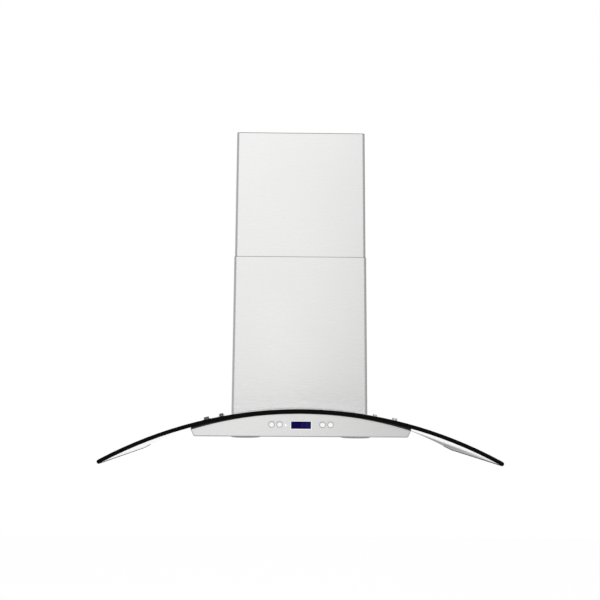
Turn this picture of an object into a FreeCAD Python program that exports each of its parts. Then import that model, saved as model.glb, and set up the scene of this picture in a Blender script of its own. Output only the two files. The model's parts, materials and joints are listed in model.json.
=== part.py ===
import FreeCAD, Part
import math
import operator
import os

import Sketcher

# Wall mounted range hood with an arched glass canopy and a telescopic chimney.
# Frame: X to the right, +Y into the wall (wall plane y = 0), +Z up, z = 0 at the hood's underside.
# Every length is in millimetres, is written once in SIZES and drives the model through the sheet.

SIZES = {
    # Glass canopy, a strip of a cylinder whose axis runs from the wall to the front
    "glass_width": 914,
    "glass_depth": 498,
    "glass_thickness": 8,
    "glass_arch_radius": 944,
    "glass_front_corner": 12,
    "glass_rear_corner": 25,
    "glass_wall_gap": 2,
    "glass_notch_gap": 4,
    # Body under the glass
    "fascia_end_height": 17.4,
    "fascia_setback": 12,
    "fascia_thickness": 1.5,
    "fascia_flange": 12,
    "fascia_edge_round": 0.8,
    "body_bottom_width": 480,
    "body_flare": 8,
    "body_sheet": 1,
    "shell_wall_step": 30,
    "fit_gap": 0.3,
    "gasket_thickness": 1.5,
    "gasket_seat_gap": 0.6,
    "gasket_width": 14,
    # Bolts that hold the glass
    "glass_bolt_inset": 29.5,
    "glass_bolt_setback": 60,
    "glass_bolt_rear": 80,
    "glass_bolt_radius": 4,
    "glass_bolt_play": 0.5,
    "glass_bolt_head_radius": 6,
    "glass_bolt_head_height": 5,
    "glass_bolt_head_round": 1.5,
    "glass_bolt_collar_radius": 9,
    "glass_bolt_collar_height": 1.2,
    "glass_bolt_tail": 9,
    "glass_nut_radius": 7,
    "glass_nut_height": 6,
    # Underside panel, filter bays and lamp holes
    "underside_sheet": 1.2,
    "lamp_setback": 58,
    "lamp_strip": 60,
    "bay_rear": 28,
    "bay_side_strip": 13.7,
    "bay_mullion": 14,
    "underside_rim": 8,
    # Grease filters
    "filter_gap": 0.8,
    "filter_rear_gap": 2.8,
    "filter_height": 12,
    "filter_side_rail": 10,
    "filter_rear_rail": 10,
    "filter_recess": 1.5,
    "baffle_sheet": 0.8,
    "baffle_depth": 4.5,
    "baffle_slot": 7,
    "baffle_rows_gap": 1.4,
    "hinge_pin_radius": 2,
    "hinge_pin_rise": 4.5,
    "hinge_pin_inset": 3.5,
    "hinge_pin_reach": 4,
    "hinge_running_gap": 0.05,
    "hinge_ear_thickness": 3,
    "hinge_ear_width": 10,
    "hinge_ear_rise": 4.5,
    "hinge_ear_gap": 1.2,
    # Filter latches
    "latch_width": 34,
    "latch_length": 12,
    "latch_travel": 6,
    "latch_play": 0.4,
    "latch_roof": 2.5,
    "latch_front_wall": 4.5,
    "latch_rear_wall": 4.7,
    "latch_tongue_width": 18,
    "latch_tongue_reach": 5.2,
    "latch_tongue_height": 2.6,
    "latch_grip_drop": 1.8,
    "latch_grip_width": 22,
    "latch_grip_length": 3,
    # Lamps
    "lamp_spacing": 256,
    "lamp_bezel_lip": 4,
    "lamp_bezel_wall": 3.7,
    "lamp_bezel_drop": 5.5,
    "lamp_bezel_skirt": 2,
    "lamp_bezel_taper": 3.5,
    "lamp_neck_radius": 32.5,
    "lamp_neck_height": 5,
    "lamp_lens_thickness": 3,
    "lamp_lens_inset": 0.6,
    "lamp_housing_step": 1,
    "lamp_housing_height": 20,
    "lamp_housing_wall": 1.5,
    # Push buttons, their carrier and the board
    "button_radius": 5.6,
    "button_proud": 2.4,
    "button_edge_round": 0.9,
    "button_travel": 1,
    "button_lip": 1.6,
    "button_flange_thickness": 1.2,
    "button_stem_radius": 2.5,
    "button_stem_length": 5,
    "button_running_gap": 0.05,
    "button_lift": 1.2,
    "button_inner_x": 48.5,
    "button_pitch": 18,
    "carrier_end": 4.7,
    "carrier_margin": 3,
    "carrier_wall": 1.6,
    "carrier_plate": 2,
    "carrier_depth": 12,
    "board_thickness": 1.6,
    "switch_width": 6,
    "switch_gap": 0.3,
    "switch_plunger_radius": 1.5,
    "switch_step": 1,
    "display_width": 45,
    "display_height": 16.4,
    "display_rise": 24.7,
    "display_corner": 1.5,
    "display_window_thickness": 2,
    "display_bezel_width": 1.6,
    "display_bezel_proud": 0.7,
    "display_bezel_neck": 0.8,
    "display_module_thickness": 4,
    "led_radius": 1.5,
    "led_pitch": 13.5,
    "led_proud": 0.5,
    # Motor box
    "box_side_gap": 35,
    "box_front_gap": 30,
    "box_top": 320,
    "box_sheet": 1,
    "hanger_height": 45,
    "hanger_hole_spacing": 200,
    "hanger_hole_rise": 25,
    "hanger_hole_radius": 4,
    # Blower
    "fan_from_wall": 105,
    "fan_rise": 150,
    "scroll_radius": 80,
    "scroll_step": 8,
    "scroll_width": 112,
    "scroll_wall": 1.5,
    "impeller_gap": 7.5,
    "impeller_side_gap": 5.5,
    "impeller_disc": 2,
    "impeller_ring_width": 8,
    "impeller_ring_thickness": 2,
    "blade_length": 13,
    "blade_thickness": 1.2,
    "hub_radius": 13,
    "hub_length": 22,
    "inlet_flange": 6,
    "inlet_lip": 5,
    "inlet_ring_thickness": 1.5,
    "shaft_radius": 4,
    "shaft_running_gap": 0.05,
    "motor_radius": 38,
    "motor_length": 72,
    "motor_cap_radius": 30,
    "motor_cap_length": 8,
    "motor_hub_gap": 3,
    "bracket_ring_width": 6,
    "bracket_thickness": 2,
    "bracket_arm_width": 14,
    # Outlet collar and damper
    "collar_radius": 75,
    "collar_wall": 2,
    "collar_height": 60,
    "collar_flange": 9,
    "collar_flange_thickness": 2,
    "collar_ledge": 4,
    "collar_ledge_height": 2,
    "damper_rise": 17,
    "damper_plate": 1.2,
    "damper_edge_gap": 1.6,
    "damper_axle_radius": 2,
    "damper_running_gap": 0.05,
    "damper_knuckle_wall": 1.9,
    "damper_knuckle_length": 28,
    "damper_knuckle_gap": 1,
    # Electrical parts on the motor box
    "junction_length": 100,
    "junction_height": 70,
    "junction_thickness": 24,
    "junction_wall": 2,
    "junction_rise": 176,
    "junction_from_wall": 70,
    "junction_cover_thickness": 2,
    "terminal_length": 50,
    "terminal_height": 18,
    "terminal_thickness": 14,
    "terminal_bore": 2,
    "gland_radius": 8,
    "gland_height": 18,
    "gland_bore": 3.5,
    "gland_nut_radius": 10,
    "gland_nut_height": 6,
    "capacitor_radius": 13,
    "capacitor_length": 62,
    "capacitor_rise": 190,
    "capacitor_clip_thickness": 1.2,
    "capacitor_clip_height": 14,
    # Chimney
    "chimney_width": 350,
    "chimney_depth": 280,
    "chimney_sheet": 1,
    "chimney_bend": 7,
    "chimney_seam": 455,
    "chimney_top": 797,
    "chimney_overlap": 62,
    "chimney_gap": 0.5,
    "chimney_rear_flange": 14,
    "wall_bracket_height": 40,
    "wall_bracket_thickness": 1.5,
    "wall_bracket_drop": 8,
    "wall_bracket_ear": 26,
    "wall_slot_spacing": 200,
    "wall_slot_radius": 3,
    "wall_slot_length": 18,
    "side_bracket_rise": 72,
    "side_bracket_height": 16,
    "side_bracket_length": 60,
    "side_bracket_thickness": 1.5,
    "side_bracket_from_wall": 110,
    "screw_radius": 1.9,
    "screw_play": 0.3,
    "screw_head_radius": 4,
    "screw_head_height": 2,
    "screw_length": 7,
    "side_screw_from_wall": 16,
}

BAFFLES_LOWER = 6
IMPELLER_BLADES = 32
BRACKET_ARMS = 3
TERMINAL_POLES = 3
SIDES = {"left": -1, "right": 1}
FULL_TURN = 360
QUARTER_TURN = 90
HEX_SIDES = 6
SIGNS = {"+": operator.add, "-": operator.sub, "*": operator.mul, "/": operator.truediv}


class Size:
    """A length that carries its number and the sheet formula that gives it."""

    def __init__(self, number, formula):
        self.number = float(number)
        self.formula = formula

    def __add__(self, other):
        return joined(self, "+", other)

    def __radd__(self, other):
        return joined(other, "+", self)

    def __sub__(self, other):
        return joined(self, "-", other)

    def __rsub__(self, other):
        return joined(other, "-", self)

    def __mul__(self, other):
        return joined(self, "*", other)

    def __rmul__(self, other):
        return joined(other, "*", self)

    def __truediv__(self, other):
        return joined(self, "/", other)

    def __neg__(self):
        return joined(0, "-", self)


def as_size(value):
    if isinstance(value, Size):
        return value
    return Size(value, repr(float(value)))


def joined(first, sign, second):
    first = as_size(first)
    second = as_size(second)
    number = SIGNS[sign](first.number, second.number)
    return Size(number, "(%s %s %s)" % (first.formula, sign, second.formula))


def root(value):
    return Size(math.sqrt(value.number), "sqrt(%s)" % value.formula)


def arc_sine(value):
    return Size(math.degrees(math.asin(value.number)), "asin(%s)" % value.formula)


class Sheet:
    """The spreadsheet of driving dimensions; each alias is read as an attribute."""

    def __init__(self, document):
        cells = document.addObject("Spreadsheet::Sheet", "Sizes")
        for row, (alias, number) in enumerate(SIZES.items(), 1):
            cells.set("A%d" % row, alias)
            cells.set("B%d" % row, str(number))
            cells.setAlias("B%d" % row, alias)

    def __getattr__(self, alias):
        return Size(SIZES[alias], "Sizes.%s" % alias)


doc = FreeCAD.newDocument("range_hood")
d = Sheet(doc)
doc.recompute()

PIECES = {}
ORIGIN = (0, 0, 0)
UP = FreeCAD.Vector(0, 0, 1)
TURNS = {
    "up": FreeCAD.Rotation(),
    "right": FreeCAD.Rotation(FreeCAD.Vector(0, 1, 0), QUARTER_TURN),
    "left": FreeCAD.Rotation(FreeCAD.Vector(0, 1, 0), -QUARTER_TURN),
    "back": FreeCAD.Rotation(FreeCAD.Vector(1, 0, 0), -QUARTER_TURN),
    "front": FreeCAD.Rotation(FreeCAD.Vector(1, 0, 0), QUARTER_TURN),
}


# Helpers that bind every size to the sheet

def bind(thing, path, value):
    thing.setExpression(path, as_size(value).formula)


def put(thing, base, along="up"):
    thing.Placement = FreeCAD.Placement(FreeCAD.Vector(), TURNS[along])
    for axis, value in zip("xyz", base):
        bind(thing, "Placement.Base.%s" % axis, value)


def box(name, low, high):
    made = doc.addObject("Part::Box", name)
    for path, start, end in zip(("Length", "Width", "Height"), low, high):
        bind(made, path, as_size(end) - start)
    put(made, low)
    return made


def rod(name, base, radius, length, along="up"):
    made = doc.addObject("Part::Cylinder", name)
    bind(made, "Radius", radius)
    bind(made, "Height", length)
    put(made, base, along)
    return made


def group(name, parts):
    made = doc.addObject("Part::Compound", name)
    made.Links = parts
    return made


def fuse(name, parts):
    made = doc.addObject("Part::MultiFuse", name)
    made.Shapes = parts
    made.Refine = True
    return made


def cut(name, base, tools):
    tool = tools[0]
    if len(tools) > 1:
        tool = group(name + "_tools", tools)
    made = doc.addObject("Part::Cut", name)
    made.Base = base
    made.Tool = tool
    return made


def piece(name, made):
    made.Label = name
    PIECES[name] = made
    return made


def new_body(name):
    return doc.addObject("PartDesign::Body", name)


def origin_plane(body, role):
    return [feature for feature in body.Origin.OriginFeatures if feature.Role == role][0]


def new_sketch(body, role, offset=0):
    made = body.newObject("Sketcher::SketchObject", body.Name + "_sketch")
    made.AttachmentSupport = (origin_plane(body, role), [""])
    made.MapMode = "FlatFace"
    bind(made, "AttachmentOffset.Base.z", offset)
    return made


def place_point(sketch, curve, end, across, up):
    for kind, axis, value in (("DistanceX", -2, across), ("DistanceY", -1, up)):
        size = as_size(value)
        if isinstance(value, Size):
            fixed = Sketcher.Constraint(kind, -1, 1, curve, end, size.number)
            index = sketch.addConstraint(fixed)
            bind(sketch, "Constraints[%d]" % index, size)
        else:
            sketch.addConstraint(Sketcher.Constraint("PointOnObject", curve, end, axis))


def draw_circle(sketch, centre, radius):
    middle = FreeCAD.Vector(as_size(centre[0]).number, as_size(centre[1]).number, 0)
    curve = sketch.addGeometry(Part.Circle(middle, UP, radius.number), False)
    place_point(sketch, curve, 3, centre[0], centre[1])
    index = sketch.addConstraint(Sketcher.Constraint("Radius", curve, radius.number))
    bind(sketch, "Constraints[%d]" % index, radius)


def draw_arc(sketch, here, there, centre, radius):
    middle = FreeCAD.Vector(as_size(centre[0]).number, as_size(centre[1]).number, 0)
    first = here - middle
    last = there - middle
    forward = first.x * last.y - first.y * last.x > 0
    if not forward:
        first, last = last, first
    start = math.atan2(first.y, first.x)
    end = math.atan2(last.y, last.x)
    circle = Part.Circle(middle, UP, radius.number)
    curve = sketch.addGeometry(Part.ArcOfCircle(circle, start, end), False)
    index = sketch.addConstraint(Sketcher.Constraint("Radius", curve, radius.number))
    bind(sketch, "Constraints[%d]" % index, radius)
    if forward:
        return (curve, 1, 2)
    return (curve, 2, 1)


def draw_outline(sketch, points, arcs=None):
    """A closed outline; arcs maps an edge's index to the centre and radius of its arc."""
    arcs = arcs or {}
    corners = [FreeCAD.Vector(as_size(x).number, as_size(y).number, 0) for x, y in points]
    edges = []
    for index, here in enumerate(corners):
        there = corners[(index + 1) % len(corners)]
        if index in arcs:
            centre, radius = arcs[index]
            edges.append(draw_arc(sketch, here, there, centre, radius))
        else:
            edges.append((sketch.addGeometry(Part.LineSegment(here, there), False), 1, 2))
    for index, (curve, start, end) in enumerate(edges):
        follower = edges[(index + 1) % len(edges)]
        joint = Sketcher.Constraint("Coincident", curve, end, follower[0], follower[1])
        sketch.addConstraint(joint)
    for (curve, start, end), (across, up) in zip(edges, points):
        place_point(sketch, curve, start, across, up)


def rectangle(low, high):
    return [low, (high[0], low[1]), high, (low[0], high[1])]


def pad(body, sketch, length, middle=False, backwards=False):
    made = body.newObject("PartDesign::Pad", body.Name + "_pad")
    made.Profile = sketch
    bind(made, "Length", length)
    made.Midplane = middle
    made.Reversed = backwards
    return made


def prism(name, role, offset, points, length, arcs=None, middle=False):
    body = new_body(name)
    sketch = new_sketch(body, role, offset)
    draw_outline(sketch, points, arcs)
    pad(body, sketch, length, middle)
    return body


def turned(name, points, base, along="up", arcs=None):
    """A solid of revolution; the outline is radius against height along the axis."""
    body = new_body(name)
    sketch = new_sketch(body, "XZ_Plane")
    draw_outline(sketch, points, arcs)
    made = body.newObject("PartDesign::Revolution", name + "_turn")
    made.Profile = sketch
    made.ReferenceAxis = (sketch, ["V_Axis"])
    made.Angle = FULL_TURN
    put(body, base, along)
    return body


def disc(name, radius, low, high, base, along="up"):
    return turned(name, [(0, low), (radius, low), (radius, high), (0, high)], base, along)


def ring(name, inner, outer, low, high, base, along="up"):
    return turned(name, rectangle((inner, low), (outer, high)), base, along)


def round_edges(body, name, radius, wanted):
    """Rounds the edges of the body's present shape that the test picks."""
    doc.recompute()
    last = body.Tip
    names = ["Edge%d" % (i + 1) for i, edge in enumerate(last.Shape.Edges) if wanted(edge)]
    made = body.newObject("PartDesign::Fillet", name)
    made.Base = (last, names)
    bind(made, "Radius", radius)
    return made


# Levels and radii that several pieces share
body_bottom = d.body_bottom_width / 2
body_top = body_bottom + d.body_flare
glass_outer = d.glass_arch_radius + d.glass_thickness
gasket_arch = d.glass_arch_radius - d.gasket_seat_gap
body_arch = d.glass_arch_radius - d.gasket_thickness
arch_centre = d.fascia_end_height - root(body_arch * body_arch - body_top * body_top)
shell_inner_arch = body_arch - d.body_sheet
glass_front = d.glass_depth + d.glass_wall_gap
fascia_front = glass_front - d.fascia_setback
fascia_back = fascia_front - d.fascia_thickness
chimney_half = d.chimney_width / 2
box_half = chimney_half - d.box_side_gap
box_depth = d.chimney_depth - d.box_front_gap
lamp_from_wall = fascia_front - d.lamp_setback
bay_front = lamp_from_wall - d.lamp_strip
underside_half = body_bottom - d.body_sheet - d.fit_gap
bay_outer = underside_half - d.bay_side_strip
overrun = d.glass_depth


def arch_height(radius, across):
    return arch_centre + root(radius * radius - across * across)


# Glass canopy with its notch, bolt holes, gasket and fixings

glass_end_outer = d.glass_width / 2
glass_end_inner = d.glass_arch_radius * glass_end_outer / glass_outer
glass_profile = [
    (-glass_end_outer, arch_height(glass_outer, glass_end_outer)),
    (glass_end_outer, arch_height(glass_outer, glass_end_outer)),
    (glass_end_inner, arch_height(d.glass_arch_radius, glass_end_inner)),
    (-glass_end_inner, arch_height(d.glass_arch_radius, glass_end_inner)),
]
glass_arcs = {
    0: ((0, arch_centre), glass_outer),
    2: ((0, arch_centre), d.glass_arch_radius),
}
glass_sheet = prism("glass_sheet", "XZ_Plane", d.glass_wall_gap, glass_profile, d.glass_depth, glass_arcs)


def is_glass_corner(edge):
    ends = [vertex.Point for vertex in edge.Vertexes]
    if len(ends) < 2:
        return False
    short = edge.Length < d.glass_thickness.number * 2
    return short and abs(ends[0].y - ends[1].y) < d.fit_gap.number


def is_rear_corner(edge):
    return is_glass_corner(edge) and edge.CenterOfMass.y > -d.glass_depth.number / 2


def is_front_corner(edge):
    return is_glass_corner(edge) and edge.CenterOfMass.y < -d.glass_depth.number / 2


round_edges(glass_sheet, "glass_rear_corners", d.glass_rear_corner, is_rear_corner)
round_edges(glass_sheet, "glass_front_corners", d.glass_front_corner, is_front_corner)

notch_half = box_half + d.glass_notch_gap
glass_notch = box(
    "glass_notch",
    (-notch_half, -(box_depth + d.glass_notch_gap), -d.glass_width),
    (notch_half, d.glass_wall_gap, d.glass_width),
)

bolt_angle = arc_sine((body_top - d.glass_bolt_inset) / glass_outer)


def on_arch(made, side, from_wall):
    """Turns a piece made about the arch axis to its bolt's place."""
    turn = FreeCAD.Rotation(FreeCAD.Vector(0, side, 0), QUARTER_TURN)
    made.Placement = FreeCAD.Placement(FreeCAD.Vector(), turn)
    bind(made, "Placement.Base.x", 0)
    bind(made, "Placement.Base.y", -from_wall)
    bind(made, "Placement.Base.z", arch_centre)
    bind(made, "Placement.Rotation.Angle", bolt_angle)
    return made


bolt_hole = d.glass_bolt_radius + d.glass_bolt_play
glass_holes = []
gasket_holes = []
glass_bolts = []
seat_washers = []
glass_nuts = []
head_foot = glass_outer + d.glass_bolt_collar_height
head_top = head_foot + d.glass_bolt_head_height
head_edge = d.glass_bolt_head_radius - d.glass_bolt_head_round
bolt_foot = shell_inner_arch - d.glass_bolt_tail
bolt_outline = [
    (0, bolt_foot),
    (d.glass_bolt_radius, bolt_foot),
    (d.glass_bolt_radius, glass_outer),
    (d.glass_bolt_collar_radius, glass_outer),
    (d.glass_bolt_collar_radius, head_foot),
    (d.glass_bolt_head_radius, head_foot),
    (d.glass_bolt_head_radius, head_top - d.glass_bolt_head_round),
    (head_edge, head_top),
    (0, head_top),
]
bolt_arcs = {6: ((head_edge, head_top - d.glass_bolt_head_round), d.glass_bolt_head_round)}
for side_name, side in SIDES.items():
    for row, from_wall in (("front", glass_front - d.glass_bolt_setback), ("rear", d.glass_bolt_rear)):
        tag = "%s_%s" % (side_name, row)
        hole = disc("bolt_hole_" + tag, bolt_hole, shell_inner_arch - overrun, glass_outer + overrun, ORIGIN)
        glass_holes.append(on_arch(hole, side, from_wall))
        bolt = turned("glass_bolt_" + tag, bolt_outline, ORIGIN, "up", bolt_arcs)
        glass_bolts.append(on_arch(bolt, side, from_wall))
        washer = ring(
            "seat_washer_" + tag,
            bolt_hole,
            d.glass_bolt_collar_radius,
            body_arch,
            gasket_arch,
            ORIGIN,
        )
        seat_washers.append(on_arch(washer, side, from_wall))
        nut_body = new_body("glass_nut_" + tag)
        nut_sketch = new_sketch(nut_body, "XY_Plane", shell_inner_arch - d.glass_nut_height)
        half_flat = d.glass_nut_radius * root(as_size(3)) / 2
        half_side = d.glass_nut_radius / 2
        draw_outline(
            nut_sketch,
            [
                (d.glass_nut_radius, 0),
                (half_side, half_flat),
                (-half_side, half_flat),
                (-d.glass_nut_radius, 0),
                (-half_side, -half_flat),
                (half_side, -half_flat),
            ],
        )
        draw_circle(nut_sketch, (0, 0), d.glass_bolt_radius)
        pad(nut_body, nut_sketch, d.glass_nut_height - d.body_sheet / 2)
        glass_nuts.append(on_arch(nut_body, side, from_wall))

glass_hole_tools = group("glass_hole_tools", glass_holes)
piece("glass_canopy", cut("glass_canopy", glass_sheet, [glass_notch, glass_hole_tools]))
piece("glass_bolts", group("glass_bolts", glass_bolts))
piece("glass_seat_washers", group("glass_seat_washers", seat_washers))
piece("glass_nuts", group("glass_nuts", glass_nuts))

body_top_height = arch_height(body_arch, body_top)
gasket_edge = body_top * gasket_arch / body_arch
gasket_profile = [
    (-gasket_edge, arch_height(gasket_arch, gasket_edge)),
    (gasket_edge, arch_height(gasket_arch, gasket_edge)),
    (body_top, body_top_height),
    (-body_top, body_top_height),
]
gasket_arcs = {
    0: ((0, arch_centre), gasket_arch),
    2: ((0, arch_centre), body_arch),
}
gasket_strip = prism(
    "gasket_strip",
    "XZ_Plane",
    d.glass_wall_gap,
    gasket_profile,
    fascia_front - d.glass_wall_gap,
    gasket_arcs,
)
gasket_window = box(
    "gasket_window",
    (d.gasket_width - body_top, d.gasket_width - fascia_front, -overrun),
    (body_top - d.gasket_width, d.glass_wall_gap, overrun),
)
piece("glass_gasket", cut("glass_gasket", gasket_strip, [gasket_window]))

# Body: shell, fascia and underside panel

shell_top_inner = body_top - d.body_sheet
shell_bottom_inner = body_bottom - d.body_sheet
shell_strip = [
    (-body_bottom, 0),
    (-body_top, body_top_height),
    (body_top, body_top_height),
    (body_bottom, 0),
    (shell_bottom_inner, 0),
    (shell_top_inner, arch_height(shell_inner_arch, shell_top_inner)),
    (-shell_top_inner, arch_height(shell_inner_arch, shell_top_inner)),
    (-shell_bottom_inner, 0),
]
shell_arcs = {
    1: ((0, arch_centre), body_arch),
    5: ((0, arch_centre), shell_inner_arch),
}
shell_body = prism("shell_body", "XZ_Plane", 0, shell_strip, fascia_back, shell_arcs)
end_outline = shell_strip[:4]
end_arcs = {1: ((0, arch_centre), body_arch)}
shell_back = new_sketch(shell_body, "XZ_Plane", 0)
draw_outline(shell_back, end_outline, end_arcs)
pad(shell_body, shell_back, d.body_sheet)
shell_opening_half = box_half + d.fit_gap
shell_opening = box(
    "shell_opening",
    (-shell_opening_half, -(box_depth + d.fit_gap), d.shell_wall_step),
    (shell_opening_half, overrun, overrun),
)
shell_hole_tools = group("shell_hole_tools", glass_holes)
piece("canopy_shell", cut("canopy_shell", shell_body, [shell_opening, shell_hole_tools]))

fascia_plate = prism("fascia_plate", "XZ_Plane", fascia_back, end_outline, d.fascia_thickness, end_arcs)


def is_fascia_rim(edge):
    flat = edge.BoundBox
    return abs(flat.YMin + fascia_front.number) < d.fascia_edge_round.number / 2 > flat.YLength


round_edges(fascia_plate, "fascia_rim", d.fascia_edge_round, is_fascia_rim)
fascia_lip = box(
    "fascia_lip",
    (-shell_bottom_inner, -fascia_back - d.fascia_edge_round / 2, 0),
    (shell_bottom_inner, d.fascia_flange - fascia_back, d.underside_sheet),
)
fascia_blank = fuse("fascia_blank", [fascia_plate, fascia_lip])
button_outer_x = d.button_inner_x + d.button_pitch
button_x = [-button_outer_x, -d.button_inner_x, d.button_inner_x, button_outer_x]
button_rise = d.display_rise + d.button_lift
button_flange_radius = d.button_radius + d.button_lip
led_x = d.button_inner_x - d.led_pitch
button_hole = d.button_radius + d.fit_gap
led_hole = d.led_radius + d.fit_gap
fascia_tools = []
for index, across in enumerate(button_x, 1):
    start = (across, -(fascia_back - d.fascia_flange), button_rise)
    fascia_tools.append(rod("fascia_button_hole_%d" % index, start, button_hole, overrun, "front"))
led_start = (-led_x, -(fascia_back - d.fascia_flange), d.display_rise)
fascia_tools.append(rod("fascia_led_hole", led_start, led_hole, overrun, "front"))
neck_half = d.display_width / 2 + d.display_bezel_neck
neck_rise = d.display_height / 2 + d.display_bezel_neck
fascia_tools.append(
    box(
        "fascia_window",
        (-(neck_half + d.fit_gap), -glass_front, d.display_rise - neck_rise - d.fit_gap),
        (neck_half + d.fit_gap, d.fascia_flange - fascia_back, d.display_rise + neck_rise + d.fit_gap),
    )
)
piece("front_fascia", cut("front_fascia", fascia_blank, fascia_tools))

underside_front = fascia_back - d.fascia_flange - d.fit_gap
underside_rear = d.body_sheet + d.fit_gap
underside_plate = box(
    "underside_plate",
    (-underside_half, -underside_front, 0),
    (underside_half, -underside_rear, d.underside_sheet),
)
underside_tools = []
underside_rims = []
lamp_x = d.lamp_spacing / 2
lamp_hole = d.lamp_neck_radius + d.fit_gap
for side_name, side in SIDES.items():
    inner = d.bay_mullion / 2
    edges = sorted((side * inner, side * bay_outer), key=lambda value: value.number)
    underside_tools.append(
        box(
            "underside_bay_" + side_name,
            (edges[0], -bay_front, -overrun),
            (edges[1], -d.bay_rear, overrun),
        )
    )
    lamp_start = (side * lamp_x, -lamp_from_wall, -overrun)
    underside_tools.append(rod("underside_lamp_" + side_name, lamp_start, lamp_hole, overrun * 2))
    rim_x = sorted(
        (side * (underside_half - d.body_sheet), side * underside_half), key=lambda value: value.number
    )
    underside_rims.append(
        box(
            "underside_rim_" + side_name,
            (rim_x[0], -underside_front, d.underside_sheet),
            (rim_x[1], -underside_rear, d.underside_sheet + d.underside_rim),
        )
    )
underside_blank = fuse("underside_blank", [underside_plate] + underside_rims)
piece("underside_frame", cut("underside_frame", underside_blank, underside_tools))

# Grease filters that swing down on rear pins, with their latches

hinge_y = d.bay_rear + d.filter_rear_gap + d.hinge_pin_inset
hinge_z = d.hinge_pin_rise
filter_front = bay_front - d.filter_gap
filter_rear = d.bay_rear + d.filter_rear_gap
filter_inner = d.bay_mullion / 2 + d.filter_gap
filter_outer = bay_outer - d.filter_gap
filter_half = (filter_outer - filter_inner) / 2
filter_middle = (filter_outer + filter_inner) / 2
latch_room = d.latch_length + d.latch_travel + d.latch_play * 2
filter_front_rail = d.latch_front_wall + latch_room + d.latch_rear_wall
window_front = filter_front - filter_front_rail
window_rear = filter_rear + d.filter_rear_rail
window_half = filter_half - d.filter_side_rail
filter_low = d.fit_gap

latch_half = d.latch_width / 2
latch_pocket_front = filter_front - d.latch_front_wall
latch_front = latch_pocket_front - d.latch_play
latch_rear = latch_front - d.latch_length
latch_pocket_rear = latch_rear - d.latch_travel - d.latch_play
latch_low = d.underside_sheet + d.latch_play
latch_roof = d.filter_height - d.latch_roof
tongue_half = d.latch_tongue_width / 2
tongue_top = latch_low + d.latch_tongue_height
grip_half = d.latch_grip_width / 2

hinge_ears = []
ear_hole = d.hinge_pin_radius + d.hinge_running_gap
ear_front = -(hinge_y + d.hinge_ear_width / 2)
ear_rear = -(hinge_y - d.hinge_ear_width / 2)
ear_top = hinge_z + d.hinge_ear_rise
ear_outer_low = bay_outer + d.hinge_ear_gap / 2
ear_outer_high = ear_outer_low + d.hinge_ear_thickness
middle_ear_half = d.bay_mullion / 2 - d.hinge_ear_gap / 2

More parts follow.
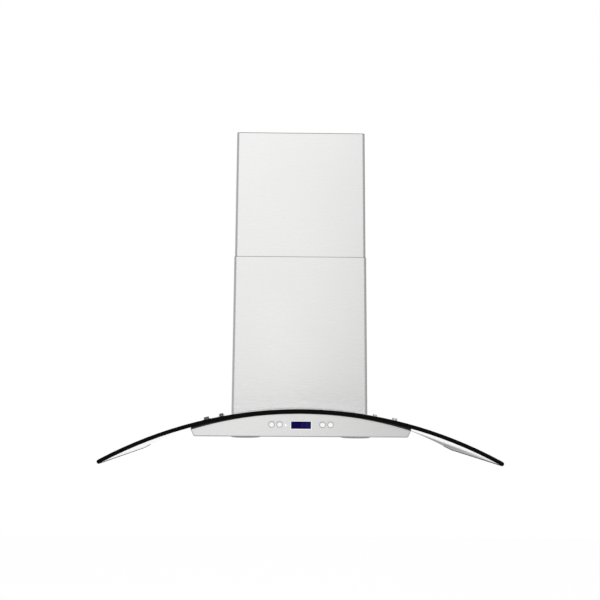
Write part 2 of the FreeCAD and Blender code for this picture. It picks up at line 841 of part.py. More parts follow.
for side_name, side in SIDES.items():
    centre = side * filter_middle
    frame_block = box(
        "filter_block_" + side_name,
        (centre - filter_half, -filter_front, filter_low),
        (centre + filter_half, -filter_rear, d.filter_height),
    )
    frame_pin = rod(
        "filter_pin_" + side_name,
        (centre - filter_half - d.hinge_pin_reach, -hinge_y, hinge_z),
        d.hinge_pin_radius,
        (filter_half + d.hinge_pin_reach) * 2,
        "right",
    )
    frame_blank = fuse("filter_blank_" + side_name, [frame_block, frame_pin])
    frame_window = box(
        "filter_window_" + side_name,
        (centre - window_half, -window_front, -overrun),
        (centre + window_half, -window_rear, overrun),
    )
    latch_pocket = box(
        "latch_pocket_" + side_name,
        (centre - latch_half - d.latch_play, -latch_pocket_front, -overrun),
        (centre + latch_half + d.latch_play, -latch_pocket_rear, latch_roof),
    )
    tongue_slot = box(
        "tongue_slot_" + side_name,
        (centre - tongue_half - d.latch_play, -glass_front, -overrun),
        (centre + tongue_half + d.latch_play, -latch_rear, tongue_top + d.latch_play),
    )
    frame_tools = [fuse("latch_room_" + side_name, [latch_pocket, tongue_slot]), frame_window]
    frame_name = side_name + "_filter_frame"
    piece(frame_name, cut(frame_name, frame_blank, frame_tools))

    slats = []
    slat_pitch = window_half * 2 / BAFFLES_LOWER
    slat_half = (slat_pitch - d.baffle_slot) / 2
    lower_floor = filter_low + d.filter_recess
    lower_roof = lower_floor + d.baffle_depth
    upper_floor = lower_roof - d.baffle_rows_gap
    upper_roof = upper_floor + d.baffle_depth
    slat_slope = d.baffle_slot / 2
    for index in range(BAFFLES_LOWER):
        middle = centre - window_half + slat_pitch * (index + 0.5)
        slats.append(
            prism(
                "slat_low_%s_%d" % (side_name, index),
                "XZ_Plane",
                window_rear + d.baffle_sheet,
                [
                    (middle - slat_half, lower_roof),
                    (middle - slat_half + d.baffle_sheet, lower_roof),
                    (middle - slat_half + slat_slope + d.baffle_sheet, lower_floor + d.baffle_sheet),
                    (middle + slat_half - slat_slope - d.baffle_sheet, lower_floor + d.baffle_sheet),
                    (middle + slat_half - d.baffle_sheet, lower_roof),
                    (middle + slat_half, lower_roof),
                    (middle + slat_half - slat_slope, lower_floor),
                    (middle - slat_half + slat_slope, lower_floor),
                ],
                window_front - window_rear - d.baffle_sheet * 2,
            )
        )
    for index in range(BAFFLES_LOWER - 1):
        middle = centre - window_half + slat_pitch * (index + 1)
        cap_half = d.baffle_slot / 2 + slat_slope
        slats.append(
            prism(
                "slat_high_%s_%d" % (side_name, index),
                "XZ_Plane",
                window_rear + d.baffle_sheet,
                [
                    (middle - cap_half, upper_floor + d.baffle_rows_gap * 2),
                    (middle - cap_half + slat_slope / 2, upper_roof),
                    (middle + cap_half - slat_slope / 2, upper_roof),
                    (middle + cap_half, upper_floor + d.baffle_rows_gap * 2),
                    (middle + cap_half - d.baffle_sheet, upper_floor + d.baffle_rows_gap * 2),
                    (middle + cap_half - slat_slope / 2 - d.baffle_sheet / 2, upper_roof - d.baffle_sheet),
                    (middle - cap_half + slat_slope / 2 + d.baffle_sheet / 2, upper_roof - d.baffle_sheet),
                    (middle - cap_half + d.baffle_sheet, upper_floor + d.baffle_rows_gap * 2),
                ],
                window_front - window_rear - d.baffle_sheet * 2,
            )
        )
    for row, rail_start in (("rear", window_rear), ("front", window_front - d.baffle_sheet)):
        slats.append(
            box(
                "slat_rail_%s_%s" % (side_name, row),
                (centre - window_half, -(rail_start + d.baffle_sheet), lower_floor),
                (centre + window_half, -rail_start, upper_roof),
            )
        )
    baffle_name = side_name + "_filter_baffles"
    piece(baffle_name, fuse(baffle_name, slats))

    latch_block = box(
        "latch_block_" + side_name,
        (centre - latch_half, -latch_front, latch_low),
        (centre + latch_half, -latch_rear, latch_roof - d.latch_play),
    )
    latch_tongue = box(
        "latch_tongue_" + side_name,
        (centre - tongue_half, -(bay_front + d.latch_tongue_reach), latch_low),
        (centre + tongue_half, -latch_rear, tongue_top),
    )
    latch_grip = box(
        "latch_grip_" + side_name,
        (centre - grip_half, -(latch_rear + d.latch_grip_length), -d.latch_grip_drop),
        (centre + grip_half, -latch_rear, latch_roof - d.latch_play),
    )
    latch_name = side_name + "_filter_latch"
    piece(latch_name, fuse(latch_name, [latch_block, latch_tongue, latch_grip]))

    ear_x = sorted((side * ear_outer_low, side * ear_outer_high), key=lambda value: value.number)
    ear = box(
        "hinge_ear_block_" + side_name,
        (ear_x[0], ear_front, d.underside_sheet),
        (ear_x[1], ear_rear, ear_top),
    )
    bore = rod("hinge_ear_bore_" + side_name, (ear_x[0], -hinge_y, hinge_z), ear_hole, overrun, "right")
    put(bore, (ear_x[0] - d.hinge_ear_thickness, -hinge_y, hinge_z), "right")
    hinge_ears.append(cut("hinge_ear_" + side_name, ear, [bore]))

middle_ear = box(
    "hinge_ear_block_middle",
    (-middle_ear_half, ear_front, d.underside_sheet),
    (middle_ear_half, ear_rear, ear_top),
)
middle_bore = rod("hinge_ear_bore_middle", (-d.bay_mullion, -hinge_y, hinge_z), ear_hole, overrun, "right")
hinge_ears.append(cut("hinge_ear_middle", middle_ear, [middle_bore]))
piece("filter_hinge_ears", group("filter_hinge_ears", hinge_ears))

# Lamps under the front strip

bezel_low = -d.lamp_bezel_drop
bezel_inner = d.lamp_neck_radius - d.lamp_bezel_wall
bezel_outer = d.lamp_neck_radius + d.lamp_bezel_lip
lens_radius = bezel_inner - d.fit_gap
bezel_outline = [
    (bezel_inner, bezel_low),
    (bezel_outer - d.lamp_bezel_taper, bezel_low),
    (bezel_outer, -d.lamp_bezel_skirt),
    (bezel_outer, 0),
    (d.lamp_neck_radius, 0),
    (d.lamp_neck_radius, d.lamp_neck_height),
    (bezel_inner, d.lamp_neck_height),
]
lens_low = bezel_low + d.lamp_lens_inset
housing_low = d.underside_sheet
housing_top = housing_low + d.lamp_neck_height + d.lamp_housing_height
housing_radius = d.lamp_neck_radius + d.lamp_housing_step
housing_inner = housing_radius - d.lamp_housing_wall
housing_outline = [
    (d.lamp_neck_radius + d.fit_gap, housing_low),
    (housing_radius + d.lamp_housing_wall, housing_low),
    (housing_radius + d.lamp_housing_wall, housing_low + d.lamp_neck_height),
    (housing_radius, housing_low + d.lamp_neck_height),
    (housing_radius, housing_top),
    (0, housing_top),
    (0, housing_top - d.lamp_housing_wall),
    (housing_inner, housing_top - d.lamp_housing_wall),
    (housing_inner, housing_low + d.lamp_neck_height),
    (d.lamp_neck_radius + d.fit_gap, housing_low + d.lamp_neck_height),
]
for side_name, side in SIDES.items():
    lamp_base = (side * lamp_x, -lamp_from_wall, 0)
    bezel_name = side_name + "_lamp_bezel"
    piece(bezel_name, turned(bezel_name, bezel_outline, lamp_base))
    lens_name = side_name + "_lamp_lens"
    piece(lens_name, disc(lens_name, lens_radius, lens_low, lens_low + d.lamp_lens_thickness, lamp_base))
    housing_name = side_name + "_lamp_housing"
    piece(housing_name, turned(housing_name, housing_outline, lamp_base))

# Controls: buttons, carrier, board, display and indicator

face = d.button_proud
flange_front = -(d.fascia_thickness + d.fit_gap)
flange_back = flange_front - d.button_flange_thickness
stem_end = flange_back - d.button_stem_length
button_outline = [
    (0, stem_end),
    (d.button_stem_radius, stem_end),
    (d.button_stem_radius, flange_back),
    (button_flange_radius, flange_back),
    (button_flange_radius, flange_front),
    (d.button_radius, flange_front),
    (d.button_radius, face - d.button_edge_round),
    (d.button_radius - d.button_edge_round, face),
    (0, face),
]
button_arcs = {
    6: ((d.button_radius - d.button_edge_round, face - d.button_edge_round), d.button_edge_round)
}
for index, across in enumerate(button_x, 1):
    button_name = "button_%d" % index
    button_base = (across, -fascia_front, button_rise)
    piece(button_name, turned(button_name, button_outline, button_base, "front", button_arcs))

carrier_half = button_outer_x + button_flange_radius + d.carrier_wall + d.carrier_end
carrier_rise_half = button_flange_radius + d.button_lift + d.carrier_wall + d.carrier_margin
carrier_front = fascia_back - d.fit_gap
carrier_back = carrier_front - d.carrier_depth
carrier_low = d.display_rise - carrier_rise_half
carrier_high = d.display_rise + carrier_rise_half
plate_front = fascia_front + flange_back - d.button_travel - d.fit_gap
plate_back = plate_front - d.carrier_plate
carrier_block = box(
    "carrier_block",
    (-carrier_half, -carrier_front, carrier_low),
    (carrier_half, -carrier_back, carrier_high),
)
carrier_tools = [
    box(
        "carrier_front_room",
        (d.carrier_wall - carrier_half, -glass_front, carrier_low + d.carrier_wall),
        (carrier_half - d.carrier_wall, -plate_front, carrier_high - d.carrier_wall),
    ),
    box(
        "carrier_rear_room",
        (d.carrier_wall - carrier_half, -plate_back, carrier_low + d.carrier_wall),
        (carrier_half - d.carrier_wall, -d.glass_wall_gap, carrier_high - d.carrier_wall),
    ),
]
stem_bore = d.button_stem_radius + d.button_running_gap
for index, across in enumerate(button_x, 1):
    start = (across, -(plate_back - d.carrier_plate), button_rise)
    carrier_tools.append(rod("carrier_bore_%d" % index, start, stem_bore, d.carrier_plate * 3, "front"))
led_bore_start = (-led_x, -(plate_back - d.carrier_plate), d.display_rise)
carrier_tools.append(rod("carrier_led_bore", led_bore_start, led_hole, d.carrier_plate * 3, "front"))
display_half = d.display_width / 2
display_rise_half = d.display_height / 2
carrier_tools.append(
    box(
        "carrier_window",
        (-(display_half + d.fit_gap), -(plate_front + d.carrier_plate), d.display_rise - display_rise_half),
        (display_half + d.fit_gap, -(plate_back - d.carrier_plate), d.display_rise + display_rise_half),
    )
)
carrier_cut = fuse("carrier_room", carrier_tools)
piece("button_carrier", cut("button_carrier", carrier_block, [carrier_cut]))

board_front = carrier_back
board_back = board_front - d.board_thickness
piece(
    "control_board",
    box(
        "control_board",
        (-carrier_half, -board_front, carrier_low),
        (carrier_half, -board_back, carrier_high),
    ),
)
switch_top = fascia_front + stem_end - d.button_travel - d.switch_gap
switch_half = d.switch_width / 2
switches = []
for index, across in enumerate(button_x, 1):
    base_block = box(
        "switch_base_%d" % index,
        (across - switch_half, -(switch_top - d.switch_step), button_rise - switch_half),
        (across + switch_half, -board_front, button_rise + switch_half),
    )
    plunger = rod(
        "switch_plunger_%d" % index,
        (across, -board_front, button_rise),
        d.switch_plunger_radius,
        switch_top - board_front,
        "front",
    )
    switches.append(fuse("tact_switch_%d" % index, [base_block, plunger]))
piece("tact_switches", group("tact_switches", switches))

bezel_half = display_half + d.display_bezel_width
bezel_rise = display_rise_half + d.display_bezel_width
bezel_plate = box(
    "bezel_plate",
    (-bezel_half, -(fascia_front + d.display_bezel_proud), d.display_rise - bezel_rise),
    (bezel_half, -fascia_front, d.display_rise + bezel_rise),
)
bezel_neck = box(
    "bezel_neck",
    (-neck_half, -fascia_front, d.display_rise - neck_rise),
    (neck_half, -fascia_back, d.display_rise + neck_rise),
)
bezel_window = box(
    "bezel_window",
    (-display_half, -glass_front, d.display_rise - display_rise_half),
    (display_half, -plate_front, d.display_rise + display_rise_half),
)
bezel_blank = fuse("bezel_blank", [bezel_plate, bezel_neck])
piece("display_bezel", cut("display_bezel", bezel_blank, [bezel_window]))
window_face = fascia_front + d.display_bezel_proud / 2
piece(
    "display_window",
    box(
        "display_window",
        (-display_half, -window_face, d.display_rise - display_rise_half),
        (display_half, -(window_face - d.display_window_thickness), d.display_rise + display_rise_half),
    ),
)
module_front = window_face - d.display_window_thickness
piece(
    "display_module",
    box(
        "display_module",
        (-(display_half - d.fit_gap), -module_front, d.display_rise - display_rise_half + d.fit_gap),
        (display_half - d.fit_gap, -board_front, d.display_rise + display_rise_half - d.fit_gap),
    ),
)
led_base = (-led_x, -fascia_front, d.display_rise)
led_end = -(fascia_front - board_front)
led_outline = [
    (0, led_end),
    (d.led_radius, led_end),
    (d.led_radius, d.led_proud),
    (0, d.led_proud),
]
piece("status_led", turned("status_led", led_outline, led_base, "front"))

# Motor box that hangs on the wall and carries the blower

box_low = d.shell_wall_step + d.fit_gap
box_outer = box("box_outer", (-box_half, -box_depth, box_low), (box_half, 0, d.box_top))
hanger = box("hanger", (-box_half, -d.box_sheet, d.box_top), (box_half, 0, d.box_top + d.hanger_height))
box_blank = fuse("box_blank", [box_outer, hanger])
throat_outer = d.scroll_radius + d.scroll_step * 3
collar_y = d.fan_from_wall + throat_outer / 2
collar_inner = d.collar_radius - d.collar_wall
box_tools = [
    box(
        "box_inside",
        (d.box_sheet - box_half, d.box_sheet - box_depth, -overrun),
        (box_half - d.box_sheet, -d.box_sheet, d.box_top - d.box_sheet),
    ),
    rod("box_outlet", (0, -collar_y, d.box_top - d.box_sheet * 2), collar_inner, d.hanger_height),
]
hanger_hole_z = d.box_top + d.hanger_hole_rise
for side_name, side in SIDES.items():
    start = (side * d.hanger_hole_spacing / 2, -d.box_sheet * 2, hanger_hole_z)
    box_tools.append(rod("hanger_hole_" + side_name, start, d.hanger_hole_radius, d.hanger_height, "back"))
box_room = fuse("box_room", box_tools)
piece("motor_box", cut("motor_box", box_blank, [box_room]))


# Blower: volute housing with inlets, double inlet fan wheel and its motor

def volute(name, wall, top, width):
    """A three centre volute about the fan axis, open upwards at the front."""
    across = -d.fan_from_wall
    radius = d.scroll_radius - wall
    step = d.scroll_step
    points = [
        (across - wall, d.fan_rise + radius),
        (across + radius, d.fan_rise),
        (across - step, d.fan_rise - radius - step),
        (across - d.scroll_radius - step * 3 + wall, d.fan_rise + step),
        (across - d.scroll_radius - step * 3 + wall, top),
        (across - wall, top),
    ]
    top_of_arc = d.fan_rise + root(radius * radius - as_size(wall) * as_size(wall))
    points[0] = (across - wall, top_of_arc)
    arcs = {
        0: ((across, d.fan_rise), radius),
        1: ((across - step, d.fan_rise), radius + step),
        2: ((across - step, d.fan_rise + step), radius + step * 2),
    }
    return prism(name, "YZ_Plane", 0, points, width, arcs, middle=True)


impeller_radius = d.scroll_radius - d.scroll_wall - d.impeller_gap
impeller_width = d.scroll_width - (d.scroll_wall + d.impeller_side_gap) * 2
inlet_radius = impeller_radius - d.blade_length
scroll_top = d.box_top - d.box_sheet - d.fit_gap
scroll_half = d.scroll_width / 2
scroll_outer = volute("scroll_outer", 0 * d.scroll_wall, scroll_top, d.scroll_width)
scroll_inner = volute(
    "scroll_inner", d.scroll_wall, scroll_top + d.hanger_height, d.scroll_width - d.scroll_wall * 2
)
fan_left_end = (-d.scroll_width, -d.fan_from_wall, d.fan_rise)
inlet_bore = rod("inlet_bore", fan_left_end, inlet_radius, d.scroll_width * 2, "right")
scroll_room = fuse("scroll_room", [scroll_inner, inlet_bore])
piece("blower_scroll", cut("blower_scroll", scroll_outer, [scroll_room]))

fan_axis = (0, -d.fan_from_wall, d.fan_rise)
inlet_rings = []
inlet_inside = inlet_radius - d.fit_gap
lip_inner = inlet_inside - d.inlet_ring_thickness
inlet_outline = [
    (lip_inner, scroll_half - d.scroll_wall),
    (inlet_inside, scroll_half - d.scroll_wall),
    (inlet_inside, scroll_half),
    (inlet_radius + d.inlet_flange, scroll_half),
    (inlet_radius + d.inlet_flange, scroll_half + d.inlet_ring_thickness),
    (lip_inner, scroll_half + d.inlet_ring_thickness),
]
for side_name in SIDES:
    inlet_rings.append(turned("inlet_ring_" + side_name, inlet_outline, fan_axis, side_name))
piece("inlet_rings", group("inlet_rings", inlet_rings))

wheel = new_body("wheel")
wheel_half = impeller_width / 2
disc_half = d.impeller_disc / 2
hub_bore = d.shaft_radius + d.shaft_running_gap
wheel_disc = new_sketch(wheel, "XZ_Plane")
draw_outline(
    wheel_disc,
    [
        (hub_bore, -d.hub_length / 2),
        (d.hub_radius, -d.hub_length / 2),
        (d.hub_radius, -disc_half),
        (impeller_radius, -disc_half),
        (impeller_radius, disc_half),
        (d.hub_radius, disc_half),
        (d.hub_radius, d.hub_length / 2),
        (hub_bore, d.hub_length / 2),
    ],
)
wheel_turn = wheel.newObject("PartDesign::Revolution", "wheel_turn")
wheel_turn.Profile = wheel_disc
wheel_turn.ReferenceAxis = (wheel_disc, ["V_Axis"])
wheel_turn.Angle = FULL_TURN
blade_sketch = new_sketch(wheel, "XY_Plane")
blade_low = impeller_radius - d.blade_length
blade_half = d.blade_thickness / 2
blade_lean_share = 0.55
blade_lean = d.blade_length * blade_lean_share
blade_high = impeller_radius - d.blade_thickness * 3
draw_outline(
    blade_sketch,
    [
        (blade_low, -blade_half),
        (blade_high, blade_lean - blade_half),
        (blade_high, blade_lean + blade_half),
        (blade_low, blade_half),
    ],
)
blade_pad = pad(wheel, blade_sketch, impeller_width, middle=True)
blades = wheel.newObject("PartDesign::PolarPattern", "wheel_blades")
blades.Originals = [blade_pad]
blades.Axis = (blade_sketch, ["N_Axis"])
blades.Angle = FULL_TURN
blades.Occurrences = IMPELLER_BLADES
wheel.Tip = blades
ring_sketch = new_sketch(wheel, "XY_Plane", wheel_half - d.impeller_ring_thickness)
draw_circle(ring_sketch, (0, 0), impeller_radius)
draw_circle(ring_sketch, (0, 0), impeller_radius - d.impeller_ring_width)
pad(wheel, ring_sketch, d.impeller_ring_thickness)
ring_sketch_low = new_sketch(wheel, "XY_Plane", -wheel_half)
draw_circle(ring_sketch_low, (0, 0), impeller_radius)
draw_circle(ring_sketch_low, (0, 0), impeller_radius - d.impeller_ring_width)
pad(wheel, ring_sketch_low, d.impeller_ring_thickness)
put(wheel, fan_axis, "right")
piece("impeller", wheel)

motor_end = d.hub_length / 2 + d.motor_hub_gap
motor_far = motor_end + d.motor_length
motor_bore = d.shaft_radius + d.shaft_running_gap
motor_outline = [
    (motor_bore, motor_end),
    (d.motor_cap_radius, motor_end),
    (d.motor_cap_radius, motor_end + d.motor_cap_length),
    (d.motor_radius, motor_end + d.motor_cap_length),
    (d.motor_radius, motor_far - d.motor_cap_length),
    (d.motor_cap_radius, motor_far - d.motor_cap_length),
    (d.motor_cap_radius, motor_far),
    (motor_bore, motor_far),
]
piece("motor_body", turned("motor_body", motor_outline, fan_axis, "left"))
piece(
    "motor_shaft",
    disc("motor_shaft", d.shaft_radius, -d.hub_length / 2, motor_far + d.motor_hub_gap, fan_axis, "left"),
)
bracket_low = scroll_half + d.inlet_ring_thickness
bracket_high = bracket_low + d.bracket_thickness
bracket_inner = d.motor_radius + d.fit_gap
bracket_rim = inlet_radius + d.inlet_flange
bracket_outer = bracket_inner + d.bracket_ring_width
bracket_parts = [
    ring("bracket_hoop", bracket_inner, bracket_outer, bracket_low, bracket_high, ORIGIN),
    ring("bracket_rim", bracket_rim - d.bracket_ring_width, bracket_rim, bracket_low, bracket_high, ORIGIN),
]
for index in range(BRACKET_ARMS):
    arm_body = prism(
        "bracket_arm_%d" % index,
        "XY_Plane",
        bracket_low,
        rectangle(
            (bracket_inner + d.bracket_ring_width / 2, -d.bracket_arm_width / 2),
            (bracket_rim - d.bracket_ring_width / 2, d.bracket_arm_width / 2),
        ),
        d.bracket_thickness,
    )
    arm_turn = FULL_TURN / BRACKET_ARMS * index
    arm_body.Placement = FreeCAD.Placement(FreeCAD.Vector(), FreeCAD.Rotation(UP, arm_turn))
    bracket_parts.append(arm_body)
motor_bracket = fuse("motor_bracket", bracket_parts)
put(motor_bracket, fan_axis, "left")
piece("motor_bracket", motor_bracket)

# Outlet collar with a two leaf back draught damper

collar_base = (0, -collar_y, d.box_top)
damper_z = d.damper_rise
ledge_top = damper_z - d.damper_plate / 2 - d.fit_gap
collar_outline = [
    (collar_inner, 0),
    (d.collar_radius + d.collar_flange, 0),
    (d.collar_radius + d.collar_flange, d.collar_flange_thickness),
    (d.collar_radius, d.collar_flange_thickness),
    (d.collar_radius, d.collar_height),
    (collar_inner, d.collar_height),
    (collar_inner, ledge_top),
    (collar_inner - d.collar_ledge, ledge_top),
    (collar_inner - d.collar_ledge, ledge_top - d.collar_ledge_height),
    (collar_inner, ledge_top - d.collar_ledge_height),
]
collar_blank = turned("collar_blank", collar_outline, collar_base)
axle_z = d.box_top + damper_z
axle_start = (-d.collar_radius, -collar_y, axle_z)
axle_bore_radius = d.damper_axle_radius + d.damper_running_gap
knuckle_radius = axle_bore_radius + d.damper_knuckle_wall
collar_bore = rod(
    "collar_axle_bore",
    (-d.collar_radius - d.collar_wall, -collar_y, axle_z),
    axle_bore_radius,
    (d.collar_radius + d.collar_wall) * 2,
    "right",
)
ledge_relief = box(
    "collar_ledge_relief",
    (-(collar_inner - d.collar_ledge / 4), -(collar_y + knuckle_radius * 2), d.box_top + d.fit_gap),
    (collar_inner - d.collar_ledge / 4, knuckle_radius * 2 - collar_y, axle_z),
)
collar_room = fuse("collar_room", [collar_bore, ledge_relief])
piece("outlet_collar", cut("outlet_collar", collar_blank, [collar_room]))
piece("damper_axle", rod("damper_axle", axle_start, d.damper_axle_radius, d.collar_radius * 2, "right"))

leaf_radius = collar_inner - d.damper_edge_gap
leaf_start = knuckle_radius + d.fit_gap
leaf_half = root(leaf_radius * leaf_radius - leaf_start * leaf_start)
knuckle_pitch = d.damper_knuckle_length + d.damper_knuckle_gap
for leaf_name, toward in (("front", -1), ("rear", 1)):
    leaf_outline = [
        (-leaf_half, toward * leaf_start - collar_y),
        (leaf_half, toward * leaf_start - collar_y),
        (0, toward * leaf_radius - collar_y),
    ]
    leaf_arcs = {
        1: ((0, -collar_y), leaf_radius),
        2: ((0, -collar_y), leaf_radius),
    }
    leaf_low = axle_z - d.damper_plate / 2
    leaf = prism("leaf_" + leaf_name, "XY_Plane", leaf_low, leaf_outline, d.damper_plate, leaf_arcs)
    leaf_parts = [leaf]
    shift = 0 if toward < 0 else 1
    for index in range(2):
        start_x = knuckle_pitch * (2 * index + shift - 2) + d.damper_knuckle_gap / 2
        tag = "%s_%d" % (leaf_name, index)
        leaf_parts.append(
            rod(
                "knuckle_" + tag,
                (start_x, -collar_y, axle_z),
                knuckle_radius,
                d.damper_knuckle_length,
                "right",
            )
        )
        tab_y = sorted(
            (toward * d.damper_axle_radius - collar_y, toward * (leaf_start + d.damper_plate) - collar_y),
            key=lambda value: value.number,
        )
        leaf_parts.append(
            box(
                "leaf_tab_" + tag,
                (start_x, tab_y[0], leaf_low),
                (start_x + d.damper_knuckle_length, tab_y[1], leaf_low + d.damper_plate),
            )
        )
    leaf_blank = fuse("leaf_blank_" + leaf_name, leaf_parts)
    leaf_bore = rod("leaf_bore_" + leaf_name, axle_start, axle_bore_radius, d.collar_radius * 2, "right")
    flap_name = leaf_name + "_damper_flap"
    piece(flap_name, cut(flap_name, leaf_blank, [leaf_bore]))

# Electrical parts on the sides of the motor box

junction_far = d.junction_from_wall + d.junction_length
junction_high = d.junction_rise + d.junction_height
junction_edge = box_half + d.junction_thickness
junction_block = box(
    "junction_block",
    (box_half, -junction_far, d.junction_rise),
    (junction_edge, -d.junction_from_wall, junction_high),
)
gland_y = d.junction_from_wall + d.junction_length / 4
gland_x = box_half + d.junction_thickness / 2
gland_start = (gland_x, -gland_y, d.junction_rise + d.junction_height / 2)
junction_tools = [
    box(
        "junction_room",
        (box_half + d.junction_wall, d.junction_wall - junction_far, d.junction_rise + d.junction_wall),
        (
            junction_edge + d.junction_wall,
            -d.junction_from_wall - d.junction_wall,
            junction_high - d.junction_wall,
        ),
    ),
    rod("junction_gland_hole", gland_start, d.gland_radius, overrun),
]
piece("junction_box", cut("junction_box", junction_block, [fuse("junction_cuts", junction_tools)]))
piece(
    "junction_cover",
    box(
        "junction_cover",
        (junction_edge, -junction_far, d.junction_rise),
        (junction_edge + d.junction_cover_thickness, -d.junction_from_wall, junction_high),
    ),
)
terminal_y = d.junction_from_wall + (d.junction_length + d.terminal_length) / 2
terminal_x = box_half + d.junction_wall
terminal_low = d.junction_rise + d.junction_wall + d.terminal_height / 2
terminal_blank = box(
    "terminal_blank",
    (terminal_x, -terminal_y, terminal_low),
    (terminal_x + d.terminal_thickness, d.terminal_length - terminal_y, terminal_low + d.terminal_height),
)
terminal_bores = []
terminal_pitch = d.terminal_length / TERMINAL_POLES
for index in range(TERMINAL_POLES):
    bore_y = terminal_y - terminal_pitch * (index + 0.5)
    bore_start = (terminal_x + d.terminal_thickness / 2, -bore_y, terminal_low - d.terminal_height)
    terminal_bores.append(
        rod("terminal_bore_%d" % index, bore_start, d.terminal_bore, d.terminal_height * 3)
    )
piece("terminal_block", cut("terminal_block", terminal_blank, terminal_bores))
gland_low = junction_high - d.junction_wall - d.gland_nut_height
gland_top = junction_high + d.gland_height
gland_shank = d.gland_radius - d.fit_gap
gland_outline = [
    (d.gland_bore, gland_low),
    (d.gland_nut_radius, gland_low),
    (d.gland_nut_radius, gland_low + d.gland_nut_height),
    (gland_shank, gland_low + d.gland_nut_height),
    (gland_shank, junction_high),
    (d.gland_nut_radius, junction_high),
    (d.gland_nut_radius, junction_high + d.gland_nut_height),
    (gland_shank, junction_high + d.gland_nut_height * 2),
    (gland_shank, gland_top),
    (d.gland_bore, gland_top),
]
piece("cable_gland", turned("cable_gland", gland_outline, (gland_x, -gland_y, 0)))

capacitor_x = -(box_half + d.capacitor_clip_thickness + d.capacitor_radius)
capacitor_base = (capacitor_x, -box_depth / 2, d.capacitor_rise)
piece(
    "capacitor",
    rod("capacitor", capacitor_base, d.capacitor_radius, d.capacitor_length),
)
clip_low = d.capacitor_rise + (d.capacitor_length - d.capacitor_clip_height) / 2
clip_hoop = ring(
    "clip_hoop",
    d.capacitor_radius + d.fit_gap / 2,
    d.capacitor_radius + d.capacitor_clip_thickness,
    clip_low,
    clip_low + d.capacitor_clip_height,
    (capacitor_x, -box_depth / 2, 0),
)
clip_foot = box(
    "clip_foot",
    (-(box_half + d.capacitor_clip_thickness), -(box_depth / 2 + d.capacitor_radius), clip_low),
    (-box_half, d.capacitor_radius - box_depth / 2, clip_low + d.capacitor_clip_height),
)
clip_blank = fuse("clip_blank", [clip_hoop, clip_foot])
clip_room = rod(
    "clip_room",
    (capacitor_x, -box_depth / 2, d.capacitor_rise),
    d.capacitor_radius + d.fit_gap / 2,
    d.capacitor_length,
)
piece("capacitor_clip", cut("capacitor_clip", clip_blank, [clip_room]))


# Telescopic chimney with its wall bracket, side brackets and screws

def channel(name, half, depth, rear, low, high, flange=None):
    """A sheet channel, open to the wall, with bent front corners and optional rear flanges."""
    sheet = d.chimney_sheet
    bend = d.chimney_bend
    front = -depth
    bend_y = bend - depth
    bend_x = half - bend
    inside = half - sheet
    back = -as_size(rear)
    points = [
        (-half, back),
        (-half, bend_y),
        (-bend_x, front),
        (bend_x, front),
        (half, bend_y),
        (half, back),
    ]
    if flange is not None:
        points += [
            (half - flange, back),
            (half - flange, back - sheet),
            (inside, back - sheet),
        ]
    else:
        points.append((inside, back))
    arcs = {
        1: ((-bend_x, bend_y), bend),
        3: ((bend_x, bend_y), bend),
        len(points): ((bend_x, bend_y), bend - sheet),
        len(points) + 2: ((-bend_x, bend_y), bend - sheet),
    }
    points += [
        (inside, bend_y),
        (bend_x, front + sheet),
        (-bend_x, front + sheet),
        (-inside, bend_y),
    ]
    if flange is not None:
        points += [
            (-inside, back - sheet),
            (flange - half, back - sheet),
            (flange - half, back),
        ]
    else:
        points.append((-inside, back))
    return prism(name, "XY_Plane", low, points, high - low, arcs)


lower_low = arch_height(glass_outer, chimney_half) - d.glass_thickness
lower_blank = channel(
    "lower_blank",
    chimney_half,
    d.chimney_depth,
    d.glass_wall_gap * 0,
    lower_low,
    d.chimney_seam,
    d.chimney_rear_flange,
)
glass_relief = rod(
    "glass_relief",
    (0, d.glass_depth, arch_centre),
    glass_outer + d.fit_gap,
    d.glass_depth * 2,
    "front",
)
bracket_z = d.side_bracket_rise + d.side_bracket_height / 2
side_bracket_far = d.side_bracket_from_wall + d.side_bracket_length
lower_inside = chimney_half - d.chimney_sheet
screw_hole = d.screw_radius + d.screw_play
side_screw_y = d.side_bracket_from_wall + d.side_bracket_length / 2
lower_tools = [glass_relief]
side_brackets = []
lower_screws = []
upper_screws = []
upper_tools = []
upper_half = lower_inside - d.chimney_gap
upper_depth = d.chimney_depth - d.chimney_sheet - d.chimney_gap
upper_rear = d.chimney_sheet + d.chimney_gap
upper_inside = upper_half - d.chimney_sheet
upper_low = d.chimney_seam - d.chimney_overlap
bracket_top = d.chimney_top - d.wall_bracket_drop
bracket_foot = bracket_top - d.wall_bracket_height
bracket_half = upper_inside - d.fit_gap / 2
wall_screw_z = bracket_foot + d.wall_bracket_height / 2


def side_screw(name, side_name, side, surface, from_wall, height):
    head_edge_height = d.screw_head_height
    outline = [
        (0, -d.screw_length),
        (d.screw_radius, -d.screw_length),
        (d.screw_radius, 0),
        (d.screw_head_radius, 0),
        (d.screw_head_radius, head_edge_height / 2),
        (d.screw_radius, head_edge_height),
        (0, head_edge_height),
    ]
    return turned(name, outline, (side * surface, -from_wall, height), side_name)


